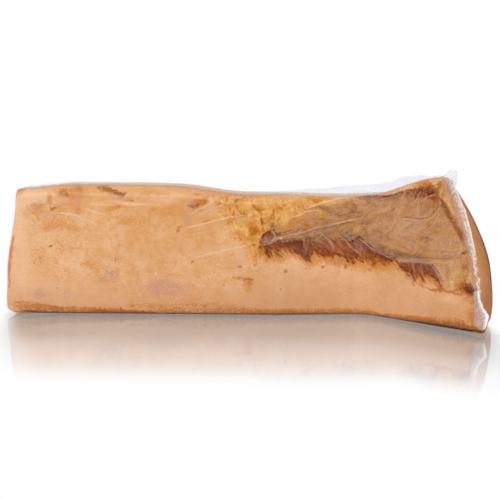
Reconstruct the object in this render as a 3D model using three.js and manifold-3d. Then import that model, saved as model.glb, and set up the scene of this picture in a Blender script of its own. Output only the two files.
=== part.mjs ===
// A slab of smoked bacon, shrink-tight in a clear vacuum bag, standing on its
// long narrow edge. The bag is sealed, so slab and film are one closed solid:
// the slab with its bent end, the thin fins where the two film layers cling
// together along the top edge, the crinkled weld across the right end, and the
// two bag corners that stand out beside that weld.
//
// Millimetres, +Z up, +X along the slab, -Y towards the shown (rind) face.
// The origin is the middle of the bounding box at the foot.

import * as THREE from "three";
import { mergeVertices } from "three/addons/utils/BufferGeometryUtils.js";
import Module from "manifold-3d";

// ---- driving dimensions ----
const FOOT_LENGTH = 482; // along the shown face, at the foot
const NOMINAL_HEIGHT = 128; // the section is drawn at this height, then scaled
const NOMINAL_THICK = 54;
const START = { x: -246, y: 2.5 }; // left end of the shown face, before centring

const BOW_HEADINGS = { left: -2.0, waist: 3.2, end: -39.5 }; // plan headings, degrees
const BOW_ZONE = [255, 300]; // where the gentle bow turns
const BEND_ZONE = [343, 376]; // where the right end turns towards the front

const TOP_AT_LEFT = 127; // height of the slab's left end
const TOP_STEPS = [
  // rises and falls of the top edge: from, to, change
  [15, 70, 4.2],
  [130, 170, -1],
  [165, 245, -8.4],
  [268, 342, -2.2],
  [346, 438, 22.6],
];
const THICK_AT_LEFT = 51;
const THICK_GAIN = 4.5; // towards the right end

const LEFT_SLANT = 11; // how far the top of the left end leans in
const LEFT_TUCK = 2; // how far it draws in just above the foot
const LEFT_TOE = 1; // how far its foot stands out
const RIGHT_SLANT = 38; // how far the top of the right end leans in
const RIGHT_TOE = 8; // the foot's front corner, drawn out under the end
const RIGHT_BULGE = 2; // the right end's belly, at its back edge
const RIGHT_BELLY = 4; // a wider, flatter swell of the same edge
const RIGHT_BACK_SHORT = 9; // how much shorter the lower back is
const RIGHT_BACK_CUT = 22; // its rounded-off upper back corner

const CORNER = { footFront: 5, topFront: 10, topBack: 8, footBack: 9 };
const END_ROUND = { left: 3, right: 5 };
const END_FULL = 1.5; // how full the two ends are
const CROWN = { front: 1.6, back: 2.4 }; // how full the two large faces are
const HOLLOW = 4.5; // the scooped upper right of the shown face

const FILM_SOLID = 1.2; // thickness of the fins, weld and bag corners
const ROOT = 2.5; // how deep those are rooted in the slab
const FIN_LEFT = { from: 14, peak: 44, to: 140, rise: 2.6 };
const FIN_RIGHT = { from: 242, peak: 380, to: 440, rise: 10.5 };
const FIN_SWING = [380, 434]; // where the right fin nears the shown face

const WELD_RISE = 7; // how far the weld stands out of the end
const WELD_INSET = { top: 9, foot: 3 }; // its distance from the shown face
const CRINKLE = { coarse: 1.5, coarseWaves: 9, fine: 0.8, fineWaves: 23 };
const EAR = { inset: 9, back: 12, out: 13, rise: 6 }; // upper bag corner
const TAB = { inset: 3.5, out: 14, low: 3, high: 31 }; // lower bag corner

const RINGS = 50; // sections along the slab, without its rounded ends
const END_RINGS = 4;
const CAP_RINGS = 3;

// ---- small helpers ----
const radians = (degrees) => (degrees * Math.PI) / 180;
const lerp = (a, b, t) => a + (b - a) * t;
const ease = (from, to, x) => {
  const t = Math.min(1, Math.max(0, (x - from) / (to - from)));
  return t * t * (3 - 2 * t);
};
const bell = (middle, width, x) => Math.exp(-(((x - middle) / width) ** 2));

// ---- plan: the shown face's line on the floor, walked in small steps ----
function heading(s) {
  const h = BOW_HEADINGS;
  return radians(
    h.left +
      (h.waist - h.left) * ease(...BOW_ZONE, s) +
      (h.end - h.waist) * ease(...BEND_ZONE, s),
  );
}
const STEP = 0.5;
const walk = [{ x: START.x, y: START.y }];
for (let i = 0; i * STEP < FOOT_LENGTH + 60; i++) {
  const a = heading((i + 0.5) * STEP);
  walk.push({
    x: walk[i].x + STEP * Math.cos(a),
    y: walk[i].y + STEP * Math.sin(a),
  });
}
// The point s along the shown face, n behind it and z above the floor.
function place(s, n, z) {
  const i = Math.min(walk.length - 2, Math.max(0, Math.floor(s / STEP)));
  const t = s / STEP - i;
  const a = heading(s);
  return new THREE.Vector3(
    lerp(walk[i].x, walk[i + 1].x, t) - Math.sin(a) * n,
    lerp(walk[i].y, walk[i + 1].y, t) + Math.cos(a) * n,
    z,
  );
}

// ---- the slab's own measures ----
const topAt = (s) =>
  TOP_STEPS.reduce(
    (z, [from, to, change]) => z + change * ease(from, to, s),
    TOP_AT_LEFT,
  );
const thickAt = (s) => THICK_AT_LEFT + THICK_GAIN * ease(60, 460, s);
const leftEnd = (zn) =>
  LEFT_TUCK * ease(0.1, 0.3, zn) +
  LEFT_SLANT * ease(0.3, 0.95, zn) -
  LEFT_TOE;
const rightEnd = (zn, nf) =>
  FOOT_LENGTH +
  RIGHT_TOE * (1 - ease(0, 0.16, zn)) * (1 - ease(0, 0.9, nf)) -
  RIGHT_SLANT * Math.max(0, zn) ** 1.4 +
  RIGHT_BULGE * nf * bell(0.44, 0.16, zn) +
  RIGHT_BELLY * nf * bell(0.4, 0.4, zn) * ease(0, 0.18, zn) -
  RIGHT_BACK_SHORT * nf * (1 - ease(0.5, 0.85, zn)) -
  RIGHT_BACK_CUT * nf * ease(0.5, 1.0, zn);

// How far a point of the large faces stands out: crown, soft lumps and, on the
// shown face, the hollow at its upper right.
function relief(s, zn, back) {
  const lumps =
    0.9 * Math.sin(s / 37 + 0.7) * Math.sin(zn * 4.4 + 1.1) +
    0.6 * Math.sin(s / 23 + zn * 4.1);
  const crown =
    (back ? CROWN.back : CROWN.front) * Math.max(0, 1 - (2 * zn - 1) ** 2);
  const hollow = back
    ? 0
    : HOLLOW *
      ease(0.5, 0.66, zn) *
      ease(268, 330, s) *
      (1 - ease(0.86, 1.0, zn)) *
      (1 - ease(400, 450, s));
  return crown + lumps * ease(0.03, 0.2, zn) * (1 - ease(0.9, 1, zn)) - hollow;
}

// ---- section: a rounded rectangle, walked foot-front, up, over and down ----
function section(inset) {
  const wide = NOMINAL_THICK - inset;
  const high = NOMINAL_HEIGHT - inset;
  const points = [];
  const corner = (n, z, r, from) => {
    const radius = Math.max(2, r - 0.55 * inset);
    const cn = n < NOMINAL_THICK / 2 ? inset + radius : wide - radius;
    const cz = z < NOMINAL_HEIGHT / 2 ? inset + radius : high - radius;
    for (let k = 0; k <= 3; k++) {
      const a = radians(from - 30 * k);
      points.push([cn + radius * Math.cos(a), cz + radius * Math.sin(a)]);
    }
  };
  const span = (count) => {
    const [n, z] = points[points.length - 1];
    return (next) => {
      for (let k = 1; k < count; k++)
        points.push([lerp(n, next[0], k / count), lerp(z, next[1], k / count)]);
    };
  };
  const joined = (count, add) => {
    const fill = span(count);
    const kept = points.length;
    add();
    const tail = points.splice(kept);
    fill(tail[0]);
    points.push(...tail);
  };
  corner(0, 0, CORNER.footFront, 270);
  joined(9, () => corner(0, NOMINAL_HEIGHT, CORNER.topFront, 180));
  joined(4, () => corner(NOMINAL_THICK, NOMINAL_HEIGHT, CORNER.topBack, 90));
  joined(8, () => corner(NOMINAL_THICK, 0, CORNER.footBack, 0));
  const closing = span(4);
  closing(points[0]);
  return points;
}

// One ring of the slab: along gives its place for a height share and a
// thickness share. A share under 1 draws the ring in, to close an end.
function ring(along, inset, share = 1) {
  return section(inset).map(([sectionN, sectionZ]) => {
    const n = lerp(NOMINAL_THICK / 2, sectionN, share);
    const z = lerp(NOMINAL_HEIGHT / 2, sectionZ, share);
    const zn = z / NOMINAL_HEIGHT;
    const nf = n / NOMINAL_THICK;
    const s = along(zn, nf);
    const front = nf < 0.5;
    const onFace = Math.abs(nf - 0.5) * 2; // 1 on the large faces
    const out = relief(s, zn, !front) * onFace ** 3;
    return place(
      s,
      nf * thickAt(s) + (front ? -out : out),
      (z * topAt(s)) / NOMINAL_HEIGHT,
    );
  });
}

// ---- the slab as one closed skin of rings ----
function slabGeometry() {
  const { left, right } = END_ROUND;
  const rings = [];
  for (let k = END_RINGS; k > 0; k--) {
    const a = radians((90 * k) / END_RINGS);
    rings.push(
      ring(
        (zn) => leftEnd(zn) + left * (1 - Math.sin(a)),
        left * (1 - Math.cos(a)),
      ),
    );
  }
  for (let k = 0; k <= RINGS; k++)
    rings.push(
      ring(
        (zn, nf) =>
          lerp(leftEnd(zn) + left, rightEnd(zn, nf) - right, k / RINGS),
        0,
      ),
    );
  for (let k = 1; k <= END_RINGS; k++) {
    const a = radians((90 * k) / END_RINGS);
    rings.push(
      ring(
        (zn, nf) => rightEnd(zn, nf) - right * (1 - Math.sin(a)),
        right * (1 - Math.cos(a)),
      ),
    );
  }
  // Each end closes in smaller rings, a little fuller towards the middle.
  const before = [];
  const after = [];
  for (let k = 1; k <= CAP_RINGS; k++) {
    const share = 1 - k / (CAP_RINGS + 1);
    const full = END_FULL * (1 - share ** 2);
    before.unshift(ring((zn) => leftEnd(zn) - full, left, share));
    after.push(ring((zn, nf) => rightEnd(zn, nf) + full, right, share));
  }
  const all = [...before, ...rings, ...after];
  const count = rings[0].length;
  const middle = (s) => place(s, thickAt(s) / 2, topAt(s) / 2);
  const tips = [
    middle(leftEnd(0.5) - END_FULL),
    middle(rightEnd(0.5, 0.5) + END_FULL),
  ];

  const position = all.flat().flatMap((p) => [p.x, p.y, p.z]);
  const index = [];
  for (let r = 0; r + 1 < all.length; r++)
    for (let i = 0; i < count; i++) {
      const j = (i + 1) % count;
      const a = r * count + i;
      const b = r * count + j;
      index.push(a, a + count, b, b, a + count, b + count);
    }
  const leftTip = all.length * count;
  const rightTip = leftTip + 1;
  for (const tip of tips) position.push(...tip.toArray());
  const last = (all.length - 1) * count;
  for (let i = 0; i < count; i++) {
    const j = (i + 1) % count;
    index.push(leftTip, i, j);
    index.push(rightTip, last + j, last + i);
  }
  return new THREE.BufferGeometry()
    .setAttribute("position", new THREE.Float32BufferAttribute(position, 3))
    .setIndex(index);
}

// ---- a thin band of film: a root line and a free line, given a thickness ----
function bandGeometry(steps, lines) {
  const position = [];
  const index = [];
  for (let k = 0; k <= steps; k++) {
    const { root, free, side } = lines(k / steps);
    for (const [p, sign] of [
      [root, -1],
      [free, -1],
      [free, 1],
      [root, 1],
    ])
      position.push(
        ...p
          .clone()
          .addScaledVector(side, (sign * FILM_SOLID) / 2)
          .toArray(),
      );
  }
  for (let k = 0; k < steps; k++)
    for (let i = 0; i < 4; i++) {
      const a = 4 * k + i;
      const b = 4 * k + ((i + 1) % 4);
      index.push(a, a + 4, b, b, a + 4, b + 4);
    }
  const end = 4 * steps;
  index.push(0, 1, 2, 0, 2, 3, end, end + 2, end + 1, end, end + 3, end + 2);
  return new THREE.BufferGeometry()
    .setAttribute("position", new THREE.Float32BufferAttribute(position, 3))
    .setIndex(index);
}
const across = (s) =>
  new THREE.Vector3(-Math.sin(heading(s)), Math.cos(heading(s)), 0);

// A fin on the middle of the top edge, highest at its peak. Where it reaches
// the bag's upper corner it swings over to it.
function finGeometry({ from, peak, to, rise }, least) {
  return bandGeometry(30, (t) => {
    const s = lerp(from, to, t);
    const up = Math.max(
      least,
      rise * ease(from, peak, s) * (1 - ease(peak, to, s)),
    );
    const n = lerp(0.5 * thickAt(s), EAR.inset, ease(...FIN_SWING, s));
    return {
      root: place(s, n, topAt(s) - ROOT),
      free: place(s, n, topAt(s) + up),
      side: across(s),
    };
  });
}

// The weld down the right end, from the upper bag corner to the lower one.
function weldGeometry() {
  return bandGeometry(60, (t) => {
    const zn = lerp(0.985, 0.16, t);
    const n = lerp(WELD_INSET.top, WELD_INSET.foot, ease(0, 0.75, t));
    const s = rightEnd(zn, n / NOMINAL_THICK);
    const z = zn * topAt(s);
    const sway =
      CRINKLE.coarse * Math.sin(2 * Math.PI * CRINKLE.coarseWaves * t) +
      CRINKLE.fine * Math.sin(2 * Math.PI * CRINKLE.fineWaves * t + 1);
    return {
      root: place(s - ROOT - 5, n + 3, z),
      free: place(s + WELD_RISE, n + sway, z + 0.5 * sway),
      side: across(s),
    };
  });
}

// A bag corner: a small flat outline in the plane of the weld.
function cornerGeometry(outline, s0, inset) {
  const shape = new THREE.Shape(outline.map(([s, z]) => new THREE.Vector2(s, z)));
  const flat = new THREE.ExtrudeGeometry(shape, {
    depth: FILM_SOLID,
    bevelEnabled: false,
    steps: 1,
  });
  const at = place(s0, inset - FILM_SOLID / 2, 0);
  const along = new THREE.Vector3(
    Math.cos(heading(s0)),
    Math.sin(heading(s0)),
    0,
  );
  // The outline's x runs along the slab, its y is up, its depth goes inward.
  const frame = new THREE.Matrix4().makeBasis(
    along,
    new THREE.Vector3(0, 0, 1),
    across(s0).negate(),
  );
  flat.translate(0, 0, -FILM_SOLID);
  return flat.applyMatrix4(frame).translate(at.x, at.y, at.z);
}
function earGeometry() {
  const s0 = rightEnd(1, EAR.inset / NOMINAL_THICK);
  const top = topAt(s0);
  return cornerGeometry(
    [
      [-EAR.back - 4, top - ROOT - 2],
      [2, top - 20],
      [0.75 * EAR.out, top - 12],
      [EAR.out, top + 0.5 * EAR.rise],
      [0.55 * EAR.out, top + EAR.rise],
      [0, top + 0.25 * EAR.rise],
      [-EAR.back, top + 0.2 * EAR.rise],
    ],
    s0,
    EAR.inset,
  );
}
function tabGeometry() {
  const s0 = rightEnd(0.16, 0);
  return cornerGeometry(
    [
      [-6, TAB.low + 3],
      [0.4 * TAB.out, TAB.low],
      [0.75 * TAB.out, TAB.low + 5],
      [TAB.out, TAB.low + 13],
      [0.8 * TAB.out, TAB.low + 18],
      [0.45 * TAB.out, TAB.high - 5],
      [-4, TAB.high],
    ],
    s0,
    TAB.inset,
  );
}

// ---- join everything into the one solid that a sealed pack is ----
const wasm = await Module();
wasm.setup();
function solidOf(geometry) {
  const bare = geometry.index ? geometry : mergeVertices(geometry);
  bare.deleteAttribute("normal");
  bare.deleteAttribute("uv");
  const merged = mergeVertices(bare, 1e-4);
  return new wasm.Manifold(
    new wasm.Mesh({
      numProp: 3,
      vertProperties: new Float32Array(merged.attributes.position.array),
      triVerts: new Uint32Array(merged.index.array),
    }),
  );
}
function geometryOf(solid) {
  const mesh = solid.getMesh();
  const position = new Float32Array(mesh.numVert * 3);
  for (let i = 0; i < mesh.numVert; i++)
    position.set(
      mesh.vertProperties.subarray(i * mesh.numProp, i * mesh.numProp + 3),
      3 * i,
    );
  const made = new THREE.BufferGeometry()
    .setAttribute("position", new THREE.BufferAttribute(position, 3))
    .setIndex(new THREE.BufferAttribute(new Uint32Array(mesh.triVerts), 1));
  made.computeVertexNormals();
  return made;
}
const joined = [
  finGeometry(FIN_LEFT, 0.4),
  finGeometry(FIN_RIGHT, 0.4),
  weldGeometry(),
  earGeometry(),
  tabGeometry(),
]
  .map(solidOf)
  .reduce((all, piece) => all.add(piece), solidOf(slabGeometry()));

const pack = new THREE.Mesh(
  geometryOf(joined),
  new THREE.MeshStandardMaterial({
    color: 0xd9a271,
    roughness: 0.38,
    metalness: 0,
  }),
);
pack.name = "vacuum_pack";

// The origin goes to the middle of the box, at the foot.
pack.geometry.computeBoundingBox();
const box = pack.geometry.boundingBox;
pack.position.set(
  -(box.min.x + box.max.x) / 2,
  -(box.min.y + box.max.y) / 2,
  -box.min.z,
);

const bacon = new THREE.Group();
bacon.name = "smoked_bacon";
bacon.add(pack);

export default bacon;
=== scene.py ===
import math

import bpy
import numpy as np
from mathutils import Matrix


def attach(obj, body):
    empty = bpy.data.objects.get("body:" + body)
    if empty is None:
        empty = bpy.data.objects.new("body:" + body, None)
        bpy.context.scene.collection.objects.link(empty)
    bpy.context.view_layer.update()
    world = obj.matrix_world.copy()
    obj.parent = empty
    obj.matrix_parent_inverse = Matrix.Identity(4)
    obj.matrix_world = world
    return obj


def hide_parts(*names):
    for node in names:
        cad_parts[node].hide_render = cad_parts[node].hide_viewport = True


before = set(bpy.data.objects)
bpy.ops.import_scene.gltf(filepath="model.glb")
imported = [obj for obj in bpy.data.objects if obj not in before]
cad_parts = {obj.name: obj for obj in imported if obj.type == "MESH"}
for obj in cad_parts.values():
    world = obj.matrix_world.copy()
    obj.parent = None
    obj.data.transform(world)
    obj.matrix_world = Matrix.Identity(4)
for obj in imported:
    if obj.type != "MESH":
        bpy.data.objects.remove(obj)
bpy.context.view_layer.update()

# ----------------------------------------------------------------- measures
# All lengths are in millimetres until a mesh is made. s runs along the shown
# face from the left end, n goes from that face into the slab, z is up.
FOOT_LENGTH = 482.0
NOMINAL_HEIGHT = 128.0
NOMINAL_THICK = 54.0
START = (-246.0, 2.5)
CENTRING = (5.3975, 14.6601)  # puts the origin at the middle of the box
HEADINGS = (-2.0, 3.2, -39.5)
BOW_ZONE = (255, 300)
BEND_ZONE = (343, 376)
TOP_AT_LEFT = 127.0
TOP_STEPS = ((15, 70, 4.2), (130, 170, -1), (165, 245, -8.4), (268, 342, -2.2), (346, 438, 22.6))
CORNERS = (5.0, 10.0, 8.0, 9.0)  # foot front, top front, top back, foot back
END_ROUND = (3.0, 5.0)
END_FULL = 1.5
FILM_GAP = 0.6  # the slab lies this far inside the film


def ease(a, b, x):
    t = np.clip((np.asarray(x, float) - a) / (b - a), 0, 1)
    return t * t * (3 - 2 * t)


def bell(middle, width, x):
    return np.exp(-(((np.asarray(x, float) - middle) / width) ** 2))


def heading(s):
    left, waist, end = HEADINGS
    return np.radians(
        left + (waist - left) * ease(*BOW_ZONE, s) + (end - waist) * ease(*BEND_ZONE, s)
    )


STEP = 0.25
_steps = np.arange(-40, FOOT_LENGTH + 60, STEP)
_turn = heading(_steps + STEP / 2)
_line_s = np.append(_steps, _steps[-1] + STEP)
_line_x = np.concatenate([[0], np.cumsum(STEP * np.cos(_turn))])
_line_y = np.concatenate([[0], np.cumsum(STEP * np.sin(_turn))])
_zero = np.searchsorted(_line_s, 0.0)
_line_x += START[0] + CENTRING[0] - _line_x[_zero]
_line_y += START[1] + CENTRING[1] - _line_y[_zero]


def place(s, n, z):
    s, n, z = np.broadcast_arrays(*(np.asarray(v, float) for v in (s, n, z)))
    a = heading(s)
    return np.stack(
        [
            np.interp(s, _line_s, _line_x) - np.sin(a) * n,
            np.interp(s, _line_s, _line_y) + np.cos(a) * n,
            z,
        ],
        -1,
    )


def top_at(s):
    return TOP_AT_LEFT + sum(c * ease(a, b, s) for a, b, c in TOP_STEPS)


def thick_at(s):
    return 51 + 4.5 * ease(60, 460, s)


def left_end(zn):
    return 2 * ease(0.1, 0.3, zn) + 11 * ease(0.3, 0.95, zn) + 6.5 * (1 - ease(0, 0.07, zn)) ** 2 - 1


def right_end(zn, nf):
    zn = np.maximum(zn, 0)
    return (
        FOOT_LENGTH
        + 8 * (1 - ease(0, 0.16, zn)) * (1 - ease(0, 0.9, nf))
        - 38 * zn**1.4
        + 2 * nf * bell(0.44, 0.16, zn)
        + 4 * nf * bell(0.4, 0.4, zn) * ease(0, 0.18, zn)
        - 9 * nf * (1 - ease(0.5, 0.85, zn))
        - 22 * nf * ease(0.5, 1.0, zn)
    )


# ------------------------------------------------------------ seeded noise
def soft_noise(x, y, seed):
    table = np.random.RandomState(seed).rand(64, 64)
    xi, yi = np.floor(x).astype(int), np.floor(y).astype(int)
    fx, fy = x - xi, y - yi
    fx, fy = fx**3 * (fx * (fx * 6 - 15) + 10), fy**3 * (fy * (fy * 6 - 15) + 10)
    at = lambda i, j: table[(xi + i) % 64, (yi + j) % 64]
    return (at(0, 0) * (1 - fx) + at(1, 0) * fx) * (1 - fy) + (
        at(0, 1) * (1 - fx) + at(1, 1) * fx
    ) * fy


def cloud(x, y, seed, octaves=4):
    total, weight = 0.0, 0.0
    for k in range(octaves):
        total = total + soft_noise(x * 2**k + 7.3 * k, y * 2**k + 3.1 * k, seed + k) * 0.5**k
        weight += 0.5**k
    return total / weight


def zigzag(u, pitch, seed):
    """An uneven zigzag between -1 and 1 along u."""
    r = np.random.RandomState(seed)
    knots = np.cumsum(pitch * (0.5 + r.rand(int(2.2 / pitch) + 8))) - 0.2
    values = np.where(np.arange(len(knots)) % 2, 1.0, -1.0) * (0.25 + 0.75 * r.rand(len(knots)))
    return np.interp(u, knots, values)


# ------------------------------------------- shapes drawn on the shown face
# Points are (s, z) in millimetres on the shown face.
STRIP_UPPER = [(257.5, 74.5), (258.5, 80), (262.5, 83.5), (269, 85.5), (275, 83.5), (276, 77.5),
               (279, 75.5), (285.5, 75.5), (290.5, 77), (294, 76.5), (305.5, 75.5), (315.5, 74.5),
               (325.5, 76), (335.5, 75), (345.5, 76), (355, 78.5), (363, 72.5), (372.5, 68.5),
               (385, 63), (394, 59.5)]
STRIP_LOWER = [(257, 69.5), (261, 66), (264.5, 60), (266.5, 59.5), (267, 66), (270, 67.5), (272.5, 63),
               (275.5, 60.5), (276, 65), (277.5, 67), (285.5, 65.5), (289, 66.5), (293, 63.5),
               (297.5, 59.5), (302, 56.5), (306, 56), (307, 60), (309, 63), (313, 63), (318.5, 60),
               (321, 58.5), (322, 60.5), (325, 59.5), (328, 58.5), (328.5, 62), (332.5, 62),
               (342, 58), (349.5, 53.5), (352, 54), (352, 56.5), (359.5, 55.5), (361.5, 56.5),
               (369.5, 52), (372.5, 53), (374.5, 56.5), (379, 54), (383, 54.5), (385.5, 57), (393, 58)]
PATCH_UPPER = [(394, 58.5), (399.5, 59.5), (407, 60), (416, 61.5), (426.5, 62), (433.5, 60.5),
               (438, 56), (442.5, 50.5), (445.5, 43), (445, 39.5)]
PATCH_LOWER = [(397, 56.5), (404.5, 50.5), (412.5, 45.5), (415, 42), (417, 43.5), (420, 46.5),
               (422.5, 46.5), (425, 42.5), (426.5, 44), (427, 48.5), (429.5, 49), (432, 46),
               (436.5, 45.5), (439.5, 44), (443, 40)]
STRIP = STRIP_UPPER + STRIP_LOWER[::-1]
PATCH = PATCH_UPPER + PATCH_LOWER[::-1]
HAZE_ZONE = [(264, 90), (284, 92), (306, 100), (330, 112), (356, 118), (388, 120),
             (412, 123), (436, 121), (447, 110), (458, 96), (468, 78), (474, 58),
             (468, 48), (452, 40), (447, 44), (443, 56), (430, 62), (398, 60),
             (372, 68), (352, 76), (316, 75), (292, 75)]
OCHRE_ZONE = [(214, 120), (246, 121), (268, 117), (300, 117), (334, 120), (322, 110),
              (296, 99), (276, 88), (260, 84), (254, 66), (246, 60), (238, 74), (226, 86), (214, 104)]


def polygon_depth(px, pz, points):
    """Distance in from a closed outline, negative outside it."""
    pts = np.array(points, float)
    best = np.full(px.shape, 1e9)
    inside = np.zeros(px.shape, bool)
    for (ax, az), (bx, bz) in zip(pts, np.roll(pts, -1, 0)):
        dx, dz = bx - ax, bz - az
        t = np.clip(((px - ax) * dx + (pz - az) * dz) / (dx * dx + dz * dz), 0, 1)
        best = np.minimum(best, np.hypot(px - ax - t * dx, pz - az - t * dz))
        if az != bz:
            cross = (az > pz) != (bz > pz)
            inside ^= cross & (px < ax + (pz - az) / dz * dx)
    return np.where(inside, best, -best)


def line_side(px, pz, points):
    """Signed distance to an open line, and how far along it, from 0 to 1."""
    pts = np.array(points, float)
    spans = np.hypot(*np.diff(pts, axis=0).T)
    total, done = spans.sum(), 0.0
    best = np.full(px.shape, 1e9)
    side = np.zeros(px.shape)
    share = np.zeros(px.shape)
    for (ax, az), (bx, bz), span in zip(pts[:-1], pts[1:], spans):
        dx, dz = bx - ax, bz - az
        t = np.clip(((px - ax) * dx + (pz - az) * dz) / span**2, 0, 1)
        d = np.hypot(px - ax - t * dx, pz - az - t * dz)
        near = d < best
        best = np.where(near, d, best)
        side = np.where(near, np.sign(dx * (pz - az) - dz * (px - ax)) * d, side)
        share = np.where(near, (done + t * span) / total, share)
        done += span
    return side, share


# Tight creases of the film on the shown face: points, strength, half width.
CREASES = [
    ([(187, 58), (209, 63.5), (228, 68), (246, 72), (258, 75)], 0.6, 0.6),
    ([(177, 87), (194, 91), (214, 96), (232, 100.5), (258, 103)], 0.6, 0.7),
    ([(190, 106), (199, 109), (209, 113.5), (214, 118)], 0.55, 0.7),
    ([(206, 102), (214, 105.5), (224, 110.5)], 0.55, 0.7),
    ([(44, 104), (58, 103), (72, 101), (86, 96), (94, 91)], 0.4, 0.7),
    ([(84, 107), (92, 104), (103, 101)], 0.35, 0.7),
    ([(95, 115.5), (116, 113.5), (141, 112)], 0.35, 0.8),
    ([(100, 121), (116, 117.5), (130, 115)], 0.3, 0.7),
    ([(13, 114), (16.5, 121), (22, 126)], 0.7, 0.7),
    ([(17, 113), (20.5, 119), (27, 125)], 0.5, 0.6),
    ([(292, 104), (306, 109), (320, 113), (336, 117.5), (356, 120.5)], 0.7, 0.6),
    ([(300, 104), (313, 107.5), (330, 112.5), (346, 116.5)], 0.5, 0.5),
    ([(256, 74.5), (280, 80), (306, 85), (316, 87), (331, 91), (347, 96), (362, 99.5)], 0.8, 0.6),
    ([(270, 74), (290, 79), (306, 82), (318, 84.5), (334, 88)], 0.5, 0.5),
    ([(394, 62.5), (412, 64), (432, 65), (448, 66.5), (464, 70)], 0.6, 0.6),
    ([(397, 101), (411, 103), (424, 105), (432, 111), (441, 121)], 0.5, 0.6),
    ([(414, 122), (413, 115), (415, 107)], 0.35, 0.6),
    ([(373, 82), (384, 88), (392, 99), (397, 111)], 0.35, 0.8),
    ([(392, 87), (406, 87), (417, 92), (428, 96)], 0.35, 0.7),
    ([(404, 121), (412, 130)], 0.6, 0.45),
    ([(409, 121.5), (418, 131)], 0.5, 0.4),
    ([(414, 122), (427, 130)], 0.5, 0.4),
    ([(420, 122), (436, 127)], 0.5, 0.4),
    ([(358, 78), (368.5, 72), (385, 63.5), (396, 60)], 0.65, 0.45),
    ([(355, 77.5), (366, 69), (378, 62)], 0.55, 0.4),
    ([(350, 78), (358.5, 67.5)], 0.5, 0.4),
    ([(342, 77), (352, 63.5)], 0.5, 0.4),
    ([(328, 75), (336, 64.5)], 0.4, 0.4),
    ([(334, 76), (343, 64)], 0.4, 0.4),
    ([(316, 80), (324, 70)], 0.35, 0.4),
    ([(286, 79), (294, 70)], 0.35, 0.4),
    ([(424, 62), (436, 49)], 0.4, 0.4),
    ([(430, 62), (441, 48)], 0.5, 0.4),
    ([(436, 60), (445, 45)], 0.4, 0.4),
    ([(415, 61), (425, 50)], 0.3, 0.4),
]

# --------------------------------------------------------- the face's marks
# Colours as they show on the lit face.
PALETTE = {
    "cream": (240, 202, 158), "peach": (231, 185, 147), "blush": (224, 172, 142), "rose": (210, 156, 126),
    "tan": (206, 155, 109), "sand": (208, 160, 116), "fawn": (190, 140, 98), "clay": (178, 124, 86),
    "wheat": (199, 147, 90), "honey": (212, 152, 88), "straw": (213, 165, 111), "yellow": (226, 178, 104),
    "gold": (205, 144, 60), "amber": (186, 114, 36), "orange": (206, 130, 60), "ginger": (192, 122, 66),
    "rust": (150, 78, 30), "brick": (170, 98, 54), "maroon": (124, 68, 46), "brown": (140, 86, 48),
    "umber": (163, 108, 60), "moss": (156, 106, 48), "olive": (160, 112, 62), "stone": (158, 115, 83),
    "bark": (102, 50, 28), "soot": (84, 42, 22), "plum": (120, 68, 52), "violet": (134, 92, 88),
    "mauve": (160, 112, 95), "lavender": (184, 146, 132), "taupe": (146, 102, 72), "shell": (206, 163, 132), "film": (203, 166, 142), "ember": (206, 134, 98),
}
# Under the bare strip. Areas: colour, strength, softness, outline.
UNDER_AREAS = [
    ("fawn", 0.92, 6, HAZE_ZONE),
    # The olive, stone and taupe areas along the bare strip's upper edge are partly the rind's colour and partly painted
    # shade in the hollow there.
    ("olive", 0.8, 4, [(276, 77), (288, 85), (304, 88), (318, 92), (334, 95), (350, 98), (364, 97), (361, 84),
                       (352, 78), (316, 76), (292, 76)]),
    ("wheat", 0.85, 4, [(272, 86), (284, 93), (300, 104.5), (318, 110), (336, 116), (350, 119), (353, 99),
                        (332, 93.5), (304, 88.5), (288, 86)]),
    ("stone", 0.8, 2.5, [(355, 80), (366, 76.5), (384, 70.5), (402, 67.5), (430, 66.5), (450, 66.5), (446, 63.5),
                         (430, 63), (400, 61.5), (386, 63.5), (372, 69), (360, 75)]),
    ("straw", 0.85, 3, [(446, 64), (464, 66), (467, 52), (463, 40), (452, 38), (446, 46)]),
    ("tan", 0.8, 2, [(438, 137), (447, 134), (453, 121), (461, 104), (468, 87), (463, 88.5), (452, 107),
                     (444, 119), (438, 127)]),
    ("taupe", 0.9, 3, [(288, 74), (302, 79), (318, 82.5), (340, 83), (356, 81), (368, 75), (384, 69), (404, 67.5), (428, 67), (430, 63),
                       (400, 61), (384, 61), (368, 66), (350, 74), (330, 75), (305, 74)]),
    ("honey", 0.85, 5, [(256, 70), (262, 56), (276, 56), (290, 59), (305, 50), (320, 53), (336, 51), (352, 45), (372, 45), (394, 48),
                        (402, 58), (370, 62), (340, 66), (300, 66), (270, 69)]),
    ("clay", 0.55, 4, [(414, 121), (426, 122), (437, 121), (443, 112), (434, 104), (418, 108)]),
    # The pale peach strip along the left edge is partly painted highlight on its rounded edge.
    ("peach", 0.2, 6, [(13, 120), (22, 126), (26, 110), (25, 60), (22, 24), (12, 24), (10, 60)]),
    ("blush", 0.4, 3, [(156, 124), (182, 126.5), (204, 123.5), (230, 118), (252, 116.5), (252, 119.5), (226, 122),
                       (204, 127), (180, 129), (158, 128)]),
    ("clay", 0.45, 2, [(438, 139), (449, 140), (456, 122), (452, 113), (446, 122), (440, 130)]),
    ("rust", 0.99, 1.6, [(402, 123), (408, 128.5), (418, 132.5), (430, 132), (438, 126), (434, 120.5), (424, 122.5), (412, 121.5)]),
]
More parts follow.
